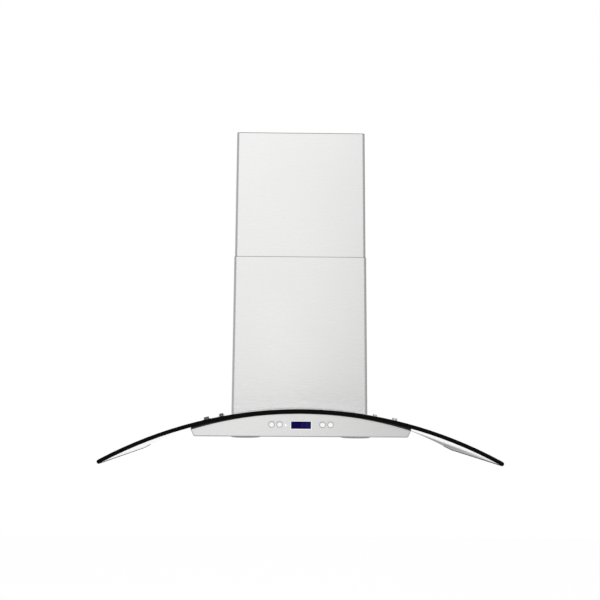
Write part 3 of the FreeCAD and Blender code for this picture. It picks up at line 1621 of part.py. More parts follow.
for side_name, side in SIDES.items():
    start = (side * chimney_half / 2, -side_screw_y, bracket_z)
    lower_tools.append(rod("lower_screw_hole_" + side_name, start, screw_hole, overrun, side_name))
    near_edges = (box_half, box_half + d.side_bracket_thickness)
    far_edges = (lower_inside - d.side_bracket_thickness, lower_inside)
    web = [
        sorted((side * edge for edge in edges), key=lambda value: value.number)
        for edges in ((box_half, lower_inside), near_edges, far_edges)
    ]
    bracket_high_z = d.side_bracket_rise + d.side_bracket_height
    shelf = box(
        "side_bracket_shelf_" + side_name,
        (web[0][0], -side_bracket_far, d.side_bracket_rise),
        (web[0][1], -d.side_bracket_from_wall, d.side_bracket_rise + d.side_bracket_thickness),
    )
    walls = []
    for index in (1, 2):
        walls.append(
            box(
                "side_bracket_wall_%s_%d" % (side_name, index),
                (web[index][0], -side_bracket_far, d.side_bracket_rise),
                (web[index][1], -d.side_bracket_from_wall, bracket_high_z),
            )
        )
    bracket_blank = fuse("side_bracket_blank_" + side_name, [shelf] + walls)
    bore = rod(
        "side_bracket_bore_" + side_name,
        (side * (lower_inside - d.side_bracket_height), -side_screw_y, bracket_z),
        screw_hole,
        overrun,
        side_name,
    )
    side_brackets.append(cut("side_bracket_" + side_name, bracket_blank, [bore]))
    lower_screws.append(
        side_screw("lower_screw_" + side_name, side_name, side, chimney_half, side_screw_y, bracket_z)
    )
    start = (side * chimney_half / 2, -d.side_screw_from_wall, wall_screw_z)
    upper_tools.append(rod("upper_screw_hole_" + side_name, start, screw_hole, overrun, side_name))
    upper_screws.append(
        side_screw(
            "upper_screw_" + side_name, side_name, side, upper_half, d.side_screw_from_wall, wall_screw_z
        )
    )

piece("lower_chimney", cut("lower_chimney", lower_blank, lower_tools))
upper_blank = channel("upper_blank", upper_half, upper_depth, upper_rear, upper_low, d.chimney_top)
piece("upper_chimney", cut("upper_chimney", upper_blank, upper_tools))
piece("chimney_side_brackets", group("chimney_side_brackets", side_brackets))
piece("lower_chimney_screws", group("lower_chimney_screws", lower_screws))
piece("upper_chimney_screws", group("upper_chimney_screws", upper_screws))

bracket_plate = box(
    "bracket_plate",
    (-bracket_half, -d.wall_bracket_thickness, bracket_foot),
    (bracket_half, 0, bracket_top),
)
bracket_walls = [bracket_plate]
wall_bracket_tools = []
slot_half = d.wall_slot_length / 2 - d.wall_slot_radius
for side_name, side in SIDES.items():
    ear_edges = sorted(
        (side * (bracket_half - d.wall_bracket_thickness), side * bracket_half),
        key=lambda value: value.number,
    )
    bracket_walls.append(
        box(
            "bracket_ear_" + side_name,
            (ear_edges[0], -d.wall_bracket_ear, bracket_foot),
            (ear_edges[1], 0, bracket_top),
        )
    )
    slot_x = side * d.wall_slot_spacing / 2
    slot_parts = [
        box(
            "slot_middle_" + side_name,
            (slot_x - slot_half, -d.wall_bracket_thickness * 2, wall_screw_z - d.wall_slot_radius),
            (slot_x + slot_half, d.wall_bracket_thickness, wall_screw_z + d.wall_slot_radius),
        )
    ]
    for end_name, end in SIDES.items():
        slot_parts.append(
            rod(
                "slot_end_%s_%s" % (side_name, end_name),
                (slot_x + end * slot_half, -d.wall_bracket_thickness * 2, wall_screw_z),
                d.wall_slot_radius,
                d.wall_bracket_thickness * 3,
                "back",
            )
        )
    wall_bracket_tools.append(fuse("slot_" + side_name, slot_parts))
    start = (side * chimney_half / 2, -d.side_screw_from_wall, wall_screw_z)
    wall_bracket_tools.append(rod("wall_bracket_bore_" + side_name, start, screw_hole, overrun, side_name))
wall_bracket_blank = fuse("wall_bracket_blank", bracket_walls)
piece("chimney_wall_bracket", cut("chimney_wall_bracket", wall_bracket_blank, wall_bracket_tools))

# Build, check and write every piece

doc.recompute()
for thing in doc.Objects:
    for state in thing.State:
        if state in ("Invalid", "Error"):
            raise RuntimeError("%s did not build: %s" % (thing.Label, thing.State))
os.makedirs("parts", exist_ok=True)
for name, made in PIECES.items():
    shape = made.Shape
    if shape.isNull() or not shape.isValid() or not shape.Solids:
        raise RuntimeError("%s is not a sound solid" % name)
    shape.exportStep("parts/%s.step" % name)
print("%d pieces written" % len(PIECES))
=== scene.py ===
"""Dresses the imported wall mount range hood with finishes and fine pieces, and sets its stage."""

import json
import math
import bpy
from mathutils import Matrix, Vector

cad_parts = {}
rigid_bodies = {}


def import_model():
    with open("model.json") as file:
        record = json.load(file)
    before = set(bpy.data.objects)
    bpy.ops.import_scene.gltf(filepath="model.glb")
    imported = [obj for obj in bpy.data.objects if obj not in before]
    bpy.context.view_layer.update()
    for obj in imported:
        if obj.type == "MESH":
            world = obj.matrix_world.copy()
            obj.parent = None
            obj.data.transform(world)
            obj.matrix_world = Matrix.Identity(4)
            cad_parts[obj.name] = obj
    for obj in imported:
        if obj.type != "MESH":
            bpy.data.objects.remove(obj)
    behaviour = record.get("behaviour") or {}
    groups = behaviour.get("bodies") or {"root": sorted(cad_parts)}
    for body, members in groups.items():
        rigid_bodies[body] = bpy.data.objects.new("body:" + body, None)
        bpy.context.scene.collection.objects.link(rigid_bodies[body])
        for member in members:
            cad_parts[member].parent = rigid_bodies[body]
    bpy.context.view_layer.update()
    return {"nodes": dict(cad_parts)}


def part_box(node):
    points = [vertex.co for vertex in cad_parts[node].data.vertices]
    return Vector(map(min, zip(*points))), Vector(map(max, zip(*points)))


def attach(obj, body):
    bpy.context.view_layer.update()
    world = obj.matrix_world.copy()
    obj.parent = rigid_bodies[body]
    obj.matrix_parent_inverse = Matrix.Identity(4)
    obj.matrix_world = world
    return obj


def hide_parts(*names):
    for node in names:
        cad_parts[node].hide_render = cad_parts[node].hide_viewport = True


bl_info = {
    "name": "Range Hood Dresser",
    "version": (1, 0, 0),
    "blender": (4, 5, 0),
    "location": "3D View > Sidebar > Range Hood",
    "description": "Gives a wall mount range hood its finishes, fine pieces and studio",
    "category": "Object",
}

import bmesh
import bpy
from bpy.props import FloatProperty, FloatVectorProperty, IntProperty, PointerProperty
from mathutils import Matrix, Vector

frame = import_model()
NODES = frame["nodes"]
ROOT_BODY = "hood"
SLIDING_BODY = "upper_duct_cover"
SIDES = {"left": -1, "right": 1}
BUTTONS = ("button_1", "button_2", "button_3", "button_4")
QUARTER_TURN = math.pi / 2
WHITE = (1, 1, 1, 1)
SHADER = "Principled BSDF"

# Levels between which a noise pattern nearly always stays
PATTERN_LOW = 0.3
PATTERN_HIGH = 0.7

# Share of a normal past which a face is square to an axis
SQUARE = 0.9


def tint(name, description, default):
    """A setting for the colour of a finish."""
    return FloatVectorProperty(
        name=name, description=description, default=default,
        subtype="COLOR", size=3, min=0, max=1,
    )


def measure(name, description, default):
    """A setting for a length."""
    return FloatProperty(name=name, description=description, default=default, unit="LENGTH")


class HoodFinishes(bpy.types.PropertyGroup):
    """Colours of the hood's finishes."""

    steel: tint("Steel", "Brushed stainless steel of the body and chimney", (0.87, 0.87, 0.865))
    filter_steel: tint(
        "Filter steel", "Satin stainless steel of the grease filters", (0.66, 0.66, 0.66)
    )
    chrome: tint("Chrome", "Polished screws, and the bolts on the right", (0.86, 0.86, 0.87))
    # The lamp rims have this dark satin colour of their own; on the bead under the fascia it is a
    # painted reflection of the dark below.
    trim: tint("Trim", "Dark satin lamp rims and bead under the fascia", (0.33, 0.33, 0.335))
    # Painted shade: the grey of the rings stands for the shade round each push button.
    button_ring_shade: tint("Button trim", "Satin rings round the push buttons", (0.47, 0.47, 0.475))
    glass: tint("Glass", "Clear canopy glass", (0.97, 0.985, 0.98))
    enamel: tint(
        "Edge enamel", "Black front edge of the glass, and the seal under it", (0.005, 0.005, 0.005)
    )
    ground_edge: tint(
        "Ground edge", "Ground side and wall edges of the glass", (0.16, 0.19, 0.18)
    )
    guard: tint(
        "Edge guard", "Guard on the side edges and rear corners of the glass", (0.06, 0.065, 0.065)
    )
    # Painted shade: the left bolts are the same chrome as the right ones, darkened as if on the
    # shaded side.
    bolt: tint("Bolt", "Darker bolts on the left of the glass", (0.2, 0.2, 0.205))
    rubber: tint("Rubber", "Gasket and seat washers", (0.012, 0.012, 0.012))
    # Painted shade: the grey strips stand for the dark shade lines at the chimney's seam and top
    # edge.
    painted_strip_shade: tint("Felt", "Grey strips on the chimney's edges", (0.12, 0.12, 0.12))
    zinc: tint("Zinc", "Galvanised sheet of the motor box and brackets", (0.47, 0.49, 0.51))
    aluminium: tint("Aluminium", "Lamp cups and the motor shaft", (0.74, 0.74, 0.75))
    motor_paint: tint("Motor paint", "Painted motor case", (0.09, 0.095, 0.105))
    black_plastic: tint(
        "Black plastic", "Latches, collar, damper and button carrier", (0.014, 0.014, 0.016)
    )
    grey_plastic: tint(
        "Grey plastic", "Blower scroll, fan wheel and junction box", (0.2, 0.205, 0.21)
    )
    white_plastic: tint("White plastic", "Terminal block and capacitor", (0.74, 0.74, 0.72))
    button: tint("Button", "Push buttons and the display's frame", (0.95, 0.95, 0.945))
    display: tint("Display", "Navy ground of the display", (0.0024, 0.0014, 0.055))
    digit: tint("Digits", "Faint figures on the display", (0.024, 0.02, 0.14))
    lens: tint("Lamp lens", "Frosted lens of the lamps", (0.86, 0.86, 0.83))
    indicator: tint("Indicator", "Small indicator lamp beside the display", (0.9, 0.92, 0.95))
    board: tint("Board", "Solder mask of the control board", (0.012, 0.12, 0.045))


class HoodSizes(bpy.types.PropertyGroup):
    """Sizes of the pieces that are modelled here. The rest comes from the frame."""

    glass_outer_radius: measure("Glass radius", "Radius of the glass arch's outer face", 0.952)
    glass_inner_radius: measure("Glass inner radius", "Radius of its inner face", 0.9438)
    glass_edge: measure("Glass edge", "Rounding of the ground glass edges", 0.0032)
    trim_thickness: measure("Front trim", "Thickness of the trim on the glass front", 0.0006)
    guard_thickness: measure("Edge guard", "Thickness of the guard on the glass edges", 0.0009)
    guard_start: measure("Guard start", "From the middle to where the edge guard starts", 0.432)
    guard_setback: measure("Guard setback", "From the glass front to the edge guard", 0.016)
    bolt_reach: measure("Bolt reach", "Glass bolts, across from the middle of the hood", 0.2185)
    bolt_head: measure("Bolt head", "Radius of a glass bolt's head", 0.006)
    bolt_collar: measure("Bolt collar", "Radius of a glass bolt's collar", 0.009)
    bolt_shank: measure("Bolt shank", "Radius of a glass bolt's shank", 0.004)
    bolt_length: measure("Bolt length", "Length of a glass bolt's shank", 0.02)
    bolt_height: measure("Bolt height", "How far a bolt stands off the glass", 0.0062)
    collar_height: measure("Collar height", "How far a bolt's collar stands off the glass", 0.0012)
    bolt_chamfer: measure("Bolt chamfer", "Height of the chamfers on a bolt", 0.0005)
    socket_depth: measure("Bolt socket", "Depth of the socket in a bolt's head", 0.003)
    screw_height: measure("Screw height", "Height of a chimney screw's head", 0.002)
    cap_radius: measure("Button cap", "Radius of a push button's cap", 0.0056)
    rim_width: measure("Button rim", "Width of the trim ring round a button", 0.0012)
    rim_gap: measure("Rim gap", "Running gap between a button and its trim ring", 0.0003)
    rim_proud: measure("Rim height", "How far a trim ring stands off the fascia", 0.0006)
    digit_height: measure("Digit height", "Height of a figure on the display", 0.0078)
    digit_depth: measure("Digit depth", "Thickness of a figure's strokes", 0.0002)
    digit_proud: measure("Digit offset", "From the display's face to a stroke's middle", 0.00005)
    seal_radius: measure("Seal radius", "Radius of the lower edge of the front seal", 0.848)
    seal_thickness: measure("Seal thickness", "Thickness of the front seal on the fascia", 0.008)
    seal_inset: measure("Seal inset", "How far the seal ends short of the fascia's ends", 0.0009)
    # The bead under the fascia is dark metal that paints the dark reflection along the fascia's
    # lower edge.
    bead_length: measure("Drip edge length", "Length of the bead under the fascia", 0.48)
    bead_rise: measure("Drip edge rise", "How far the bead runs up the fascia's ends", 0.0152)
    bead_depth: measure("Drip edge depth", "Depth of the bead under the fascia", 0.0013)
    strip_gap: measure("Strip gap", "From the upper cover's face to a strip's middle", 0.00025)
    strip_thickness: measure("Strip thickness", "Thickness of the chimney's strips", 0.0003)
    strip_bend: measure("Strip bend", "Corner radius of the chimney's strips", 0.0066)
    strip_rear: measure("Strip end", "How far from the wall a strip ends", 0.02)
    strip_tuck: measure("Strip tuck", "How far the seam strip goes between the covers", 0.006)
    seam_height: measure("Seam strip height", "What shows of it over the lower cover", 0.0014)
    top_height: measure("Top strip height", "Height of the strip on the top edge", 0.0016)
    lens_ribs: IntProperty(
        name="Lens ribs", description="Rings moulded into a lamp lens", min=2, max=12, default=6
    )


class HoodStudio(bpy.types.PropertyGroup):
    """Camera, light and floor."""

    camera_place: FloatVectorProperty(
        name="Camera place", description="Where the camera stands",
        subtype="TRANSLATION", size=3, default=(-0.0319, -2.0438, 0.0851),
    )
    camera_pan: FloatProperty(
        name="Camera pan", description="Turn of the camera about the upright",
        subtype="ANGLE", default=math.radians(-0.493),
    )
    camera_tilt: FloatProperty(
        name="Camera tilt", description="How far the camera looks up",
        subtype="ANGLE", default=math.radians(7.596),
    )
    camera_roll: FloatProperty(
        name="Camera roll", description="Roll of the camera about its own line of sight",
        subtype="ANGLE", default=math.radians(0.392),
    )
    camera_lens: FloatProperty(
        name="Camera lens", description="Focal length in millimetres on a 36 mm sensor",
        unit="CAMERA", default=40.78,
    )
    camera_shift: FloatVectorProperty(
        name="Camera shift", description="Shift of the lens, in shares of the picture",
        size=2, default=(0.0106, 0.0125),
    )
    floor_level: measure("Floor level", "Height of the studio floor", -0.9)
    floor_size: measure("Floor size", "Side of the studio floor", 6.0)
    floor_white: FloatProperty(
        name="Floor white", description="Share of plain white that the camera sees on the floor",
        subtype="FACTOR", min=0, max=1, default=0.88,
    )
    soft_light: FloatProperty(
        name="Soft light", description="Level of the even light from all round",
        min=0, max=2, default=0.72,
    )
    key_power: FloatProperty(
        name="Key power", description="Power of the large soft lamp at the upper left",
        subtype="POWER", default=38,
    )
    fill_power: FloatProperty(
        name="Fill power", description="Power of the large soft lamp at the right",
        subtype="POWER", default=16,
    )
    lamp_side: measure("Lamp side", "Side of each soft lamp", 2.2)


def fill_in(node, inputs):
    """Feeds a node's inputs with other nodes' outputs or with plain values."""
    for key, value in inputs.items():
        if isinstance(value, bpy.types.NodeSocket):
            node.id_data.links.new(value, node.inputs[key])
        else:
            node.inputs[key].default_value = value


def add_node(tree, kind, inputs=None, **settings):
    """A node with its settings and what goes into it."""
    node = tree.nodes.new(kind)
    for key, value in settings.items():
        setattr(node, key, value)
    fill_in(node, inputs or {})
    return node


def new_finish(name, values=None):
    """A material and its node tree, with the shader's values that are the same all over."""
    material = bpy.data.materials.new(name)
    material.use_nodes = True
    tree = material.node_tree
    fill_in(tree.nodes[SHADER], values or {})
    return material, tree


def even(stretch):
    """The same stretch along all three axes."""
    return (stretch, stretch, stretch)


def placed(tree, stretch, turn=0.0):
    """Object coordinates, turned about X and scaled by axis."""
    place = add_node(tree, "ShaderNodeTexCoord").outputs["Object"]
    inputs = {"Vector": place, "Rotation": (turn, 0, 0), "Scale": stretch}
    return add_node(tree, "ShaderNodeMapping", inputs).outputs["Vector"]


def grain(tree, stretch, detail=2.0):
    """Noise whose cells are one over each stretch long."""
    inputs = {"Vector": placed(tree, stretch), "Scale": 1.0, "Detail": detail}
    return add_node(tree, "ShaderNodeTexNoise", inputs).outputs["Fac"]


def bricks(tree, stretch, wide, tall, joint, **settings):
    """A grid of oblongs on upright faces, with its joints."""
    inputs = {
        "Vector": placed(tree, even(stretch), QUARTER_TURN), "Scale": 1.0,
        "Brick Width": wide, "Row Height": tall, "Mortar Size": joint,
    }
    return add_node(tree, "ShaderNodeTexBrick", inputs, **settings).outputs["Fac"]


def mixed(tree, first, second, share):
    """Two patterns or levels, mixed by share."""
    inputs = {"Factor": share, "A": first, "B": second}
    return add_node(tree, "ShaderNodeMix", inputs, data_type="FLOAT").outputs["Result"]


def roughened(tree, pattern, low, high):
    """Runs a pattern between two values into the roughness."""
    inputs = {
        "Value": pattern, "From Min": PATTERN_LOW, "From Max": PATTERN_HIGH,
        "To Min": low, "To Max": high,
    }
    span = add_node(tree, "ShaderNodeMapRange", inputs)
    fill_in(tree.nodes[SHADER], {"Roughness": span.outputs["Result"]})


def toned(tree, pattern, colour, depth):
    """Runs a pattern between a darker and a lighter tone of a colour into the base colour."""
    ramp = add_node(tree, "ShaderNodeValToRGB", {"Fac": pattern})
    stops = ramp.color_ramp.elements
    stops[0].position = PATTERN_LOW
    stops[1].position = PATTERN_HIGH
    stops[0].color = [*(part * (1 - depth) for part in colour), 1]
    stops[1].color = [*(min(1, part * (1 + depth)) for part in colour), 1]
    fill_in(tree.nodes[SHADER], {"Base Color": ramp.outputs["Color"]})


def raised(tree, pattern, strength, height):
    """Runs a pattern into the relief."""
    inputs = {"Height": pattern, "Strength": strength, "Distance": height}
    bump = add_node(tree, "ShaderNodeBump", inputs)
    fill_in(tree.nodes[SHADER], {"Normal": bump.outputs["Normal"]})


def brushed_steel(name, colour, fine, broad, rough=(0.25, 0.3)):
    """Stainless steel with brush lines that run across the axis of the finest stretch."""
    material, tree = new_finish(name, {"Metallic": 1.0})
    lines = mixed(tree, grain(tree, fine), grain(tree, broad), share=0.35)
    cloud = grain(tree, even(5), detail=3)
    toned(tree, lines, colour, depth=0.006)
    roughened(tree, mixed(tree, lines, cloud, share=0.4), *rough)
    raised(tree, lines, strength=0.0015, height=0.0001)
    return material


def polished(name, colour, rough=(0.06, 0.13)):
    """Polished or plated metal with faint wiping marks."""
    material, tree = new_finish(name, {"Metallic": 1.0})
    wipe = grain(tree, (420, 160, 420), detail=3)
    toned(tree, wipe, colour, depth=0.03)
    roughened(tree, wipe, *rough)
    return material


def spangled_zinc(name, colour):
    """Galvanised sheet with its crystal spangle."""
    material, tree = new_finish(name, {"Metallic": 0.85})
    inputs = {"Vector": placed(tree, even(150)), "Scale": 1.0, "Randomness": 1.0}
    cells = add_node(tree, "ShaderNodeTexVoronoi", inputs)
    flake = add_node(tree, "ShaderNodeSeparateColor", {"Color": cells.outputs["Color"]})
    tone = mixed(tree, flake.outputs["Red"], grain(tree, even(60), detail=4), share=0.4)
    toned(tree, tone, colour, depth=0.16)
    roughened(tree, flake.outputs["Green"], low=0.34, high=0.55)
    return material


def moulded(name, colour, rough=(0.42, 0.58), cell=1600, depth=0.08):
    """Moulded plastic or rubber with a fine spark-eroded grain."""
    material, tree = new_finish(name)
    fine = grain(tree, even(cell))
    tone = mixed(tree, fine, grain(tree, even(28), detail=3), share=0.6)
    toned(tree, tone, colour, depth)
    roughened(tree, tone, *rough)
    raised(tree, fine, strength=0.12, height=0.0002)
    return material


def painted(name, colour):
    """Sprayed paint with a slight orange peel."""
    material, tree = new_finish(name)
    peel = grain(tree, even(700))
    toned(tree, grain(tree, even(40), detail=4), colour, depth=0.12)
    roughened(tree, peel, low=0.34, high=0.48)
    raised(tree, peel, strength=0.2, height=0.0003)
    return material


def clear_glass(name, colour):
    """Clear sheet glass with the faint film that any glass carries."""
    material, tree = new_finish(name, {"Transmission Weight": 1.0, "IOR": 1.5})
    film = grain(tree, even(14), detail=4)
    toned(tree, film, colour, depth=0.006)
    roughened(tree, film, low=0.0, high=0.02)
    return material


def edge_enamel(name, colour):
    """Black enamel fired on to the glass edge."""
    material, tree = new_finish(name, {"Specular IOR Level": 0.0})
    fleck = grain(tree, even(900))
    toned(tree, fleck, colour, depth=0.25)
    roughened(tree, fleck, low=0.5, high=0.62)
    return material


def backlit(name, colour, glow, cell):
    """Display glass with a fine grid, lit from behind."""
    values = {
        "Specular IOR Level": 0.05, "Emission Color": [*colour, 1], "Emission Strength": glow
    }
    material, tree = new_finish(name, values)
    dots = bricks(tree, 1 / cell, wide=1.0, tall=1.0, joint=0.08, offset=0.0)
    toned(tree, dots, colour, depth=0.2)
    roughened(tree, grain(tree, even(300), detail=3), low=0.12, high=0.2)
    return material


def frosted(name, colour, glow=0.0):
    """Frosted lens plastic, which may be lit from inside."""
    values = {
        "Transmission Weight": 0.45, "IOR": 1.49, "Emission Color": WHITE, "Emission Strength": glow
    }
    material, tree = new_finish(name, values)
    frost = grain(tree, even(2200))
    toned(tree, grain(tree, even(90), detail=3), colour, depth=0.03)
    roughened(tree, frost, low=0.3, high=0.45)
    raised(tree, frost, strength=0.15, height=0.0002)
    return material


def solder_mask(name, colour):
    """Printed board with its traces under the mask."""
    material, tree = new_finish(name)
    traces = bricks(tree, 300, wide=2.4, tall=0.8, joint=0.06)
    tone = mixed(tree, traces, grain(tree, even(250), detail=3), share=0.5)
    toned(tree, tone, colour, depth=0.4)
    roughened(tree, tone, low=0.3, high=0.45)
    return material


def give(material, *nodes):
    """Puts a finish on CAD nodes."""
    for node in nodes:
        slots = NODES[node].data.materials
        slots.clear()
        slots.append(material)


def put_down_tools():
    """Leaves edit mode and lets go of everything."""
    if bpy.context.mode != "OBJECT":
        bpy.ops.object.mode_set(mode="OBJECT")
    bpy.ops.object.select_all(action="DESELECT")


def take_up(piece):
    """Makes one piece the only one that is selected."""
    put_down_tools()
    piece.select_set(True)
    bpy.context.view_layer.objects.active = piece


def open_mesh(piece):
    """Goes into edit mode on one piece with all its faces picked."""
    take_up(piece)
    bpy.ops.object.mode_set(mode="EDIT")
    bpy.ops.mesh.select_mode(type="FACE")
    bpy.ops.mesh.select_all(action="SELECT")


def pick(piece, wanted, kind="FACE"):
    """Selects only the faces, or the edges, that a test wants, in edit mode."""
    bpy.ops.mesh.select_mode(type=kind)
    bpy.ops.mesh.select_all(action="DESELECT")
    mesh = bmesh.from_edit_mesh(piece.data)
    parts = mesh.faces if kind == "FACE" else mesh.edges
    for part in parts:
        part.select_set(wanted(part))
    bmesh.update_edit_mesh(piece.data)


def started(add, name, scale=(1, 1, 1), **settings):
    """A primitive to shape, with its size and place in its mesh."""
    put_down_tools()
    add(**settings)
    piece = bpy.context.object
    piece.name = name
    piece.scale = scale
    bpy.ops.object.transform_apply()
    return piece


def turned(name, steps, sides=48, open_middle=False):
    """A round piece about the upright, drawn out of a disc through (radius, height) steps."""
    radius, height = steps[0]
    piece = started(
        bpy.ops.mesh.primitive_circle_add, name,
        vertices=sides, radius=radius, fill_type="NGON", location=(0, 0, height),
    )
    open_mesh(piece)
    for next_radius, next_height in steps[1:]:
        bpy.ops.mesh.extrude_region_move(
            TRANSFORM_OT_translate={"value": (0, 0, next_height - height)}
        )
        share = next_radius / radius
        bpy.ops.transform.resize(value=(share, share, 1), center_override=(0, 0, next_height))
        radius, height = next_radius, next_height
    if open_middle:
        pick(piece, lambda face: len(face.verts) == sides)
        bpy.ops.mesh.delete(type="ONLY_FACE")
        ends = {round(steps[0][1], 6), round(height, 6)}

        def is_end(edge):
            return edge.is_boundary and round(edge.verts[0].co.z, 6) in ends

        pick(piece, is_end, "EDGE")
        bpy.ops.mesh.bridge_edge_loops()
    bpy.ops.mesh.select_all(action="SELECT")
    bpy.ops.mesh.normals_make_consistent(inside=False)
    put_down_tools()
    return piece


def thrown_away(piece):
    """Removes a pattern or a cutter once it has been used."""
    take_up(piece)
    bpy.ops.object.delete()


def cut_out(piece, cutter):
    """Takes a cutter's shape out of a piece and throws the cutter away."""
    take_up(piece)
    tool = piece.modifiers.new("cut", "BOOLEAN")
    tool.operation = "DIFFERENCE"
    tool.solver = "EXACT"
    tool.object = cutter
    bpy.ops.object.modifier_apply(modifier=tool.name)
    thrown_away(cutter)


def walled(piece, thickness, offset):
    """Gives an open sheet its thickness."""
    take_up(piece)
    wall = piece.modifiers.new("wall", "SOLIDIFY")
    wall.thickness = thickness
    wall.offset = offset
    bpy.ops.object.modifier_apply(modifier=wall.name)


def smoothed(piece, degrees=32):
    """Rounds the shading over the soft edges."""
    take_up(piece)
    bpy.ops.object.shade_smooth_by_angle(angle=math.radians(degrees))


def copied(piece, name, spot):
    """A copy with its own mesh, moved in its mesh, with its object left at the origin."""
    twin = bpy.data.objects.new(name, piece.data.copy())
    bpy.context.scene.collection.objects.link(twin)
    take_up(twin)
    twin.matrix_world = spot
    bpy.ops.object.transform_apply()
    return twin


def placing(across, along, up, turn=0, axis="Y"):
    """A place, with a turn about one axis there."""
    return Matrix.Translation((across, along, up)) @ Matrix.Rotation(turn, 4, axis)


def middle_of(node):
    """The middle of a CAD node's box."""
    low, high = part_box(node)
    return (low + high) / 2


def joined(pieces, name):
    """Several pieces made one."""
    put_down_tools()
    for piece in pieces:
        piece.select_set(True)
    bpy.context.view_layer.objects.active = pieces[0]
    bpy.ops.object.join()
    made = bpy.context.view_layer.objects.active
    made.name = name
    put_down_tools()
    return made


def finished(piece, body, slot, material, *replaced):
    """Gives a piece its finish and body, and hides the CAD nodes that it stands for."""
    piece.data.materials.clear()
    piece.data.materials.append(material)
    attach(piece, body)
    if replaced:
        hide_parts(*replaced)


def recoated(piece, material, wanted):
    """Puts one more finish on the faces that a test wants."""
    slots = piece.data.materials
    slots.append(material)
    open_mesh(piece)
    pick(piece, wanted)
    piece.active_material_index = len(slots) - 1
    bpy.ops.object.material_slot_assign()
    put_down_tools()


class HOOD_OT_steel_work(bpy.types.Operator):
    """Brushes the chimney, fascia, shell and underside"""

    bl_idname = "hood.steel_work"
    bl_label = "Steel Work"

    def execute(self, context):
        steel = context.scene.hood_finishes.steel
        lengthwise = brushed_steel("brushed_steel_upright", steel, (3, 3, 4200), (2, 2, 900))
        crosswise = brushed_steel("brushed_steel_flat", steel, (3, 4200, 110), (2, 900, 35))
        give(lengthwise, "lower_chimney", "upper_chimney", "front_fascia")
        give(crosswise, "canopy_shell", "underside_frame")
        return {"FINISHED"}


class HOOD_OT_canopy_glass(bpy.types.Operator):
    """Makes the bent glass with its rounded edges, black front and edge guards"""

    bl_idname = "hood.canopy_glass"
    bl_label = "Canopy Glass"

    # Distances from the glass front, in metres, to tell its faces apart
    front_reach = 0.03
    ground_start = 0.004

    # Limits of a face's normal: how far forward it looks, and how squarely away from the axis
    forward = -0.05
    upright_limit = 0.8
    flat_limit = 0.985

    def execute(self, context):
        colours = context.scene.hood_finishes
        sizes = context.scene.hood_sizes
        low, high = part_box("glass_canopy")
        centre = high.z - sizes.glass_outer_radius
        sheet = self.rounded_sheet(context.scene, sizes.glass_edge)
        clear = clear_glass("clear_canopy_glass", colours.glass)
        finished(sheet, ROOT_BODY, "canopy_glass", clear, "glass_canopy")

        def flatness(face):
            middle = face.calc_center_median()
            outward = Vector((middle.x, 0, middle.z - centre)).normalized()
            return abs(face.normal.dot(outward))

        def looks_forward(face):
            near = face.calc_center_median().y < low.y + self.front_reach
            return near and face.normal.y < self.forward

        def is_ground(face):
            behind = face.calc_center_median().y > low.y + self.ground_start
            return behind and face.normal.y > self.forward and flatness(face) < self.upright_limit

        def is_front(face):
            return looks_forward(face) and flatness(face) < self.flat_limit

        def is_wing_rim(face):
            middle = face.calc_center_median()
            on_wing = abs(middle.x) > sizes.guard_start and middle.y > low.y + sizes.guard_setback
            return on_wing and flatness(face) < self.flat_limit

        recoated(sheet, edge_enamel("black_edge_enamel", colours.enamel), looks_forward)
        ground = moulded("ground_glass_edge", colours.ground_edge, (0.5, 0.65), 1500, 0.1)
        recoated(sheet, ground, is_ground)
        front_enamel = edge_enamel("front_trim_enamel", colours.enamel)
        self.edge_strip(sheet, "glass_front_trim", sizes.trim_thickness, is_front, front_enamel)
        guard = moulded("edge_guard", colours.guard, (0.55, 0.7), 1200, 0.15)
        self.edge_strip(sheet, "glass_edge_guard", sizes.guard_thickness, is_wing_rim, guard)
        rubber = moulded("gasket_rubber", colours.rubber, (0.68, 0.85), 1100, 0.15)
        give(rubber, "glass_gasket", "glass_seat_washers")
        return {"FINISHED"}

    def rounded_sheet(self, scene, rounding):
        """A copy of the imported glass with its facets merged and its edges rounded."""
        sheet = bpy.data.objects.new("canopy_glass_sheet", NODES["glass_canopy"].data.copy())
        scene.collection.objects.link(sheet)
        open_mesh(sheet)
        bpy.ops.mesh.customdata_custom_splitnormals_clear()
        bpy.ops.mesh.remove_doubles(threshold=0.00002)
        bpy.ops.mesh.dissolve_limited(angle_limit=math.radians(0.4))
        take_up(sheet)
        edge = sheet.modifiers.new("edge", "BEVEL")
        edge.width = rounding
        edge.segments = 4
        edge.use_clamp_overlap = False
        edge.limit_method = "ANGLE"
        edge.angle_limit = math.radians(50)
        bpy.ops.object.modifier_apply(modifier=edge.name)
        smoothed(sheet, 6)
        return sheet

    def edge_strip(self, sheet, name, thickness, wanted, material):
        """A thin strip wrapped round the edge faces of the glass that the test picks."""
        open_mesh(sheet)
        pick(sheet, wanted)
        bpy.ops.mesh.duplicate()
        bpy.ops.mesh.separate(type="SELECTED")
        put_down_tools()
        parted = sheet.name + "."
        strip = next(piece for piece in bpy.data.objects if piece.name.startswith(parted))
        strip.name = name
        walled(strip, thickness, offset=1)
        smoothed(strip)
        finished(strip, ROOT_BODY, "black_rubber", material)


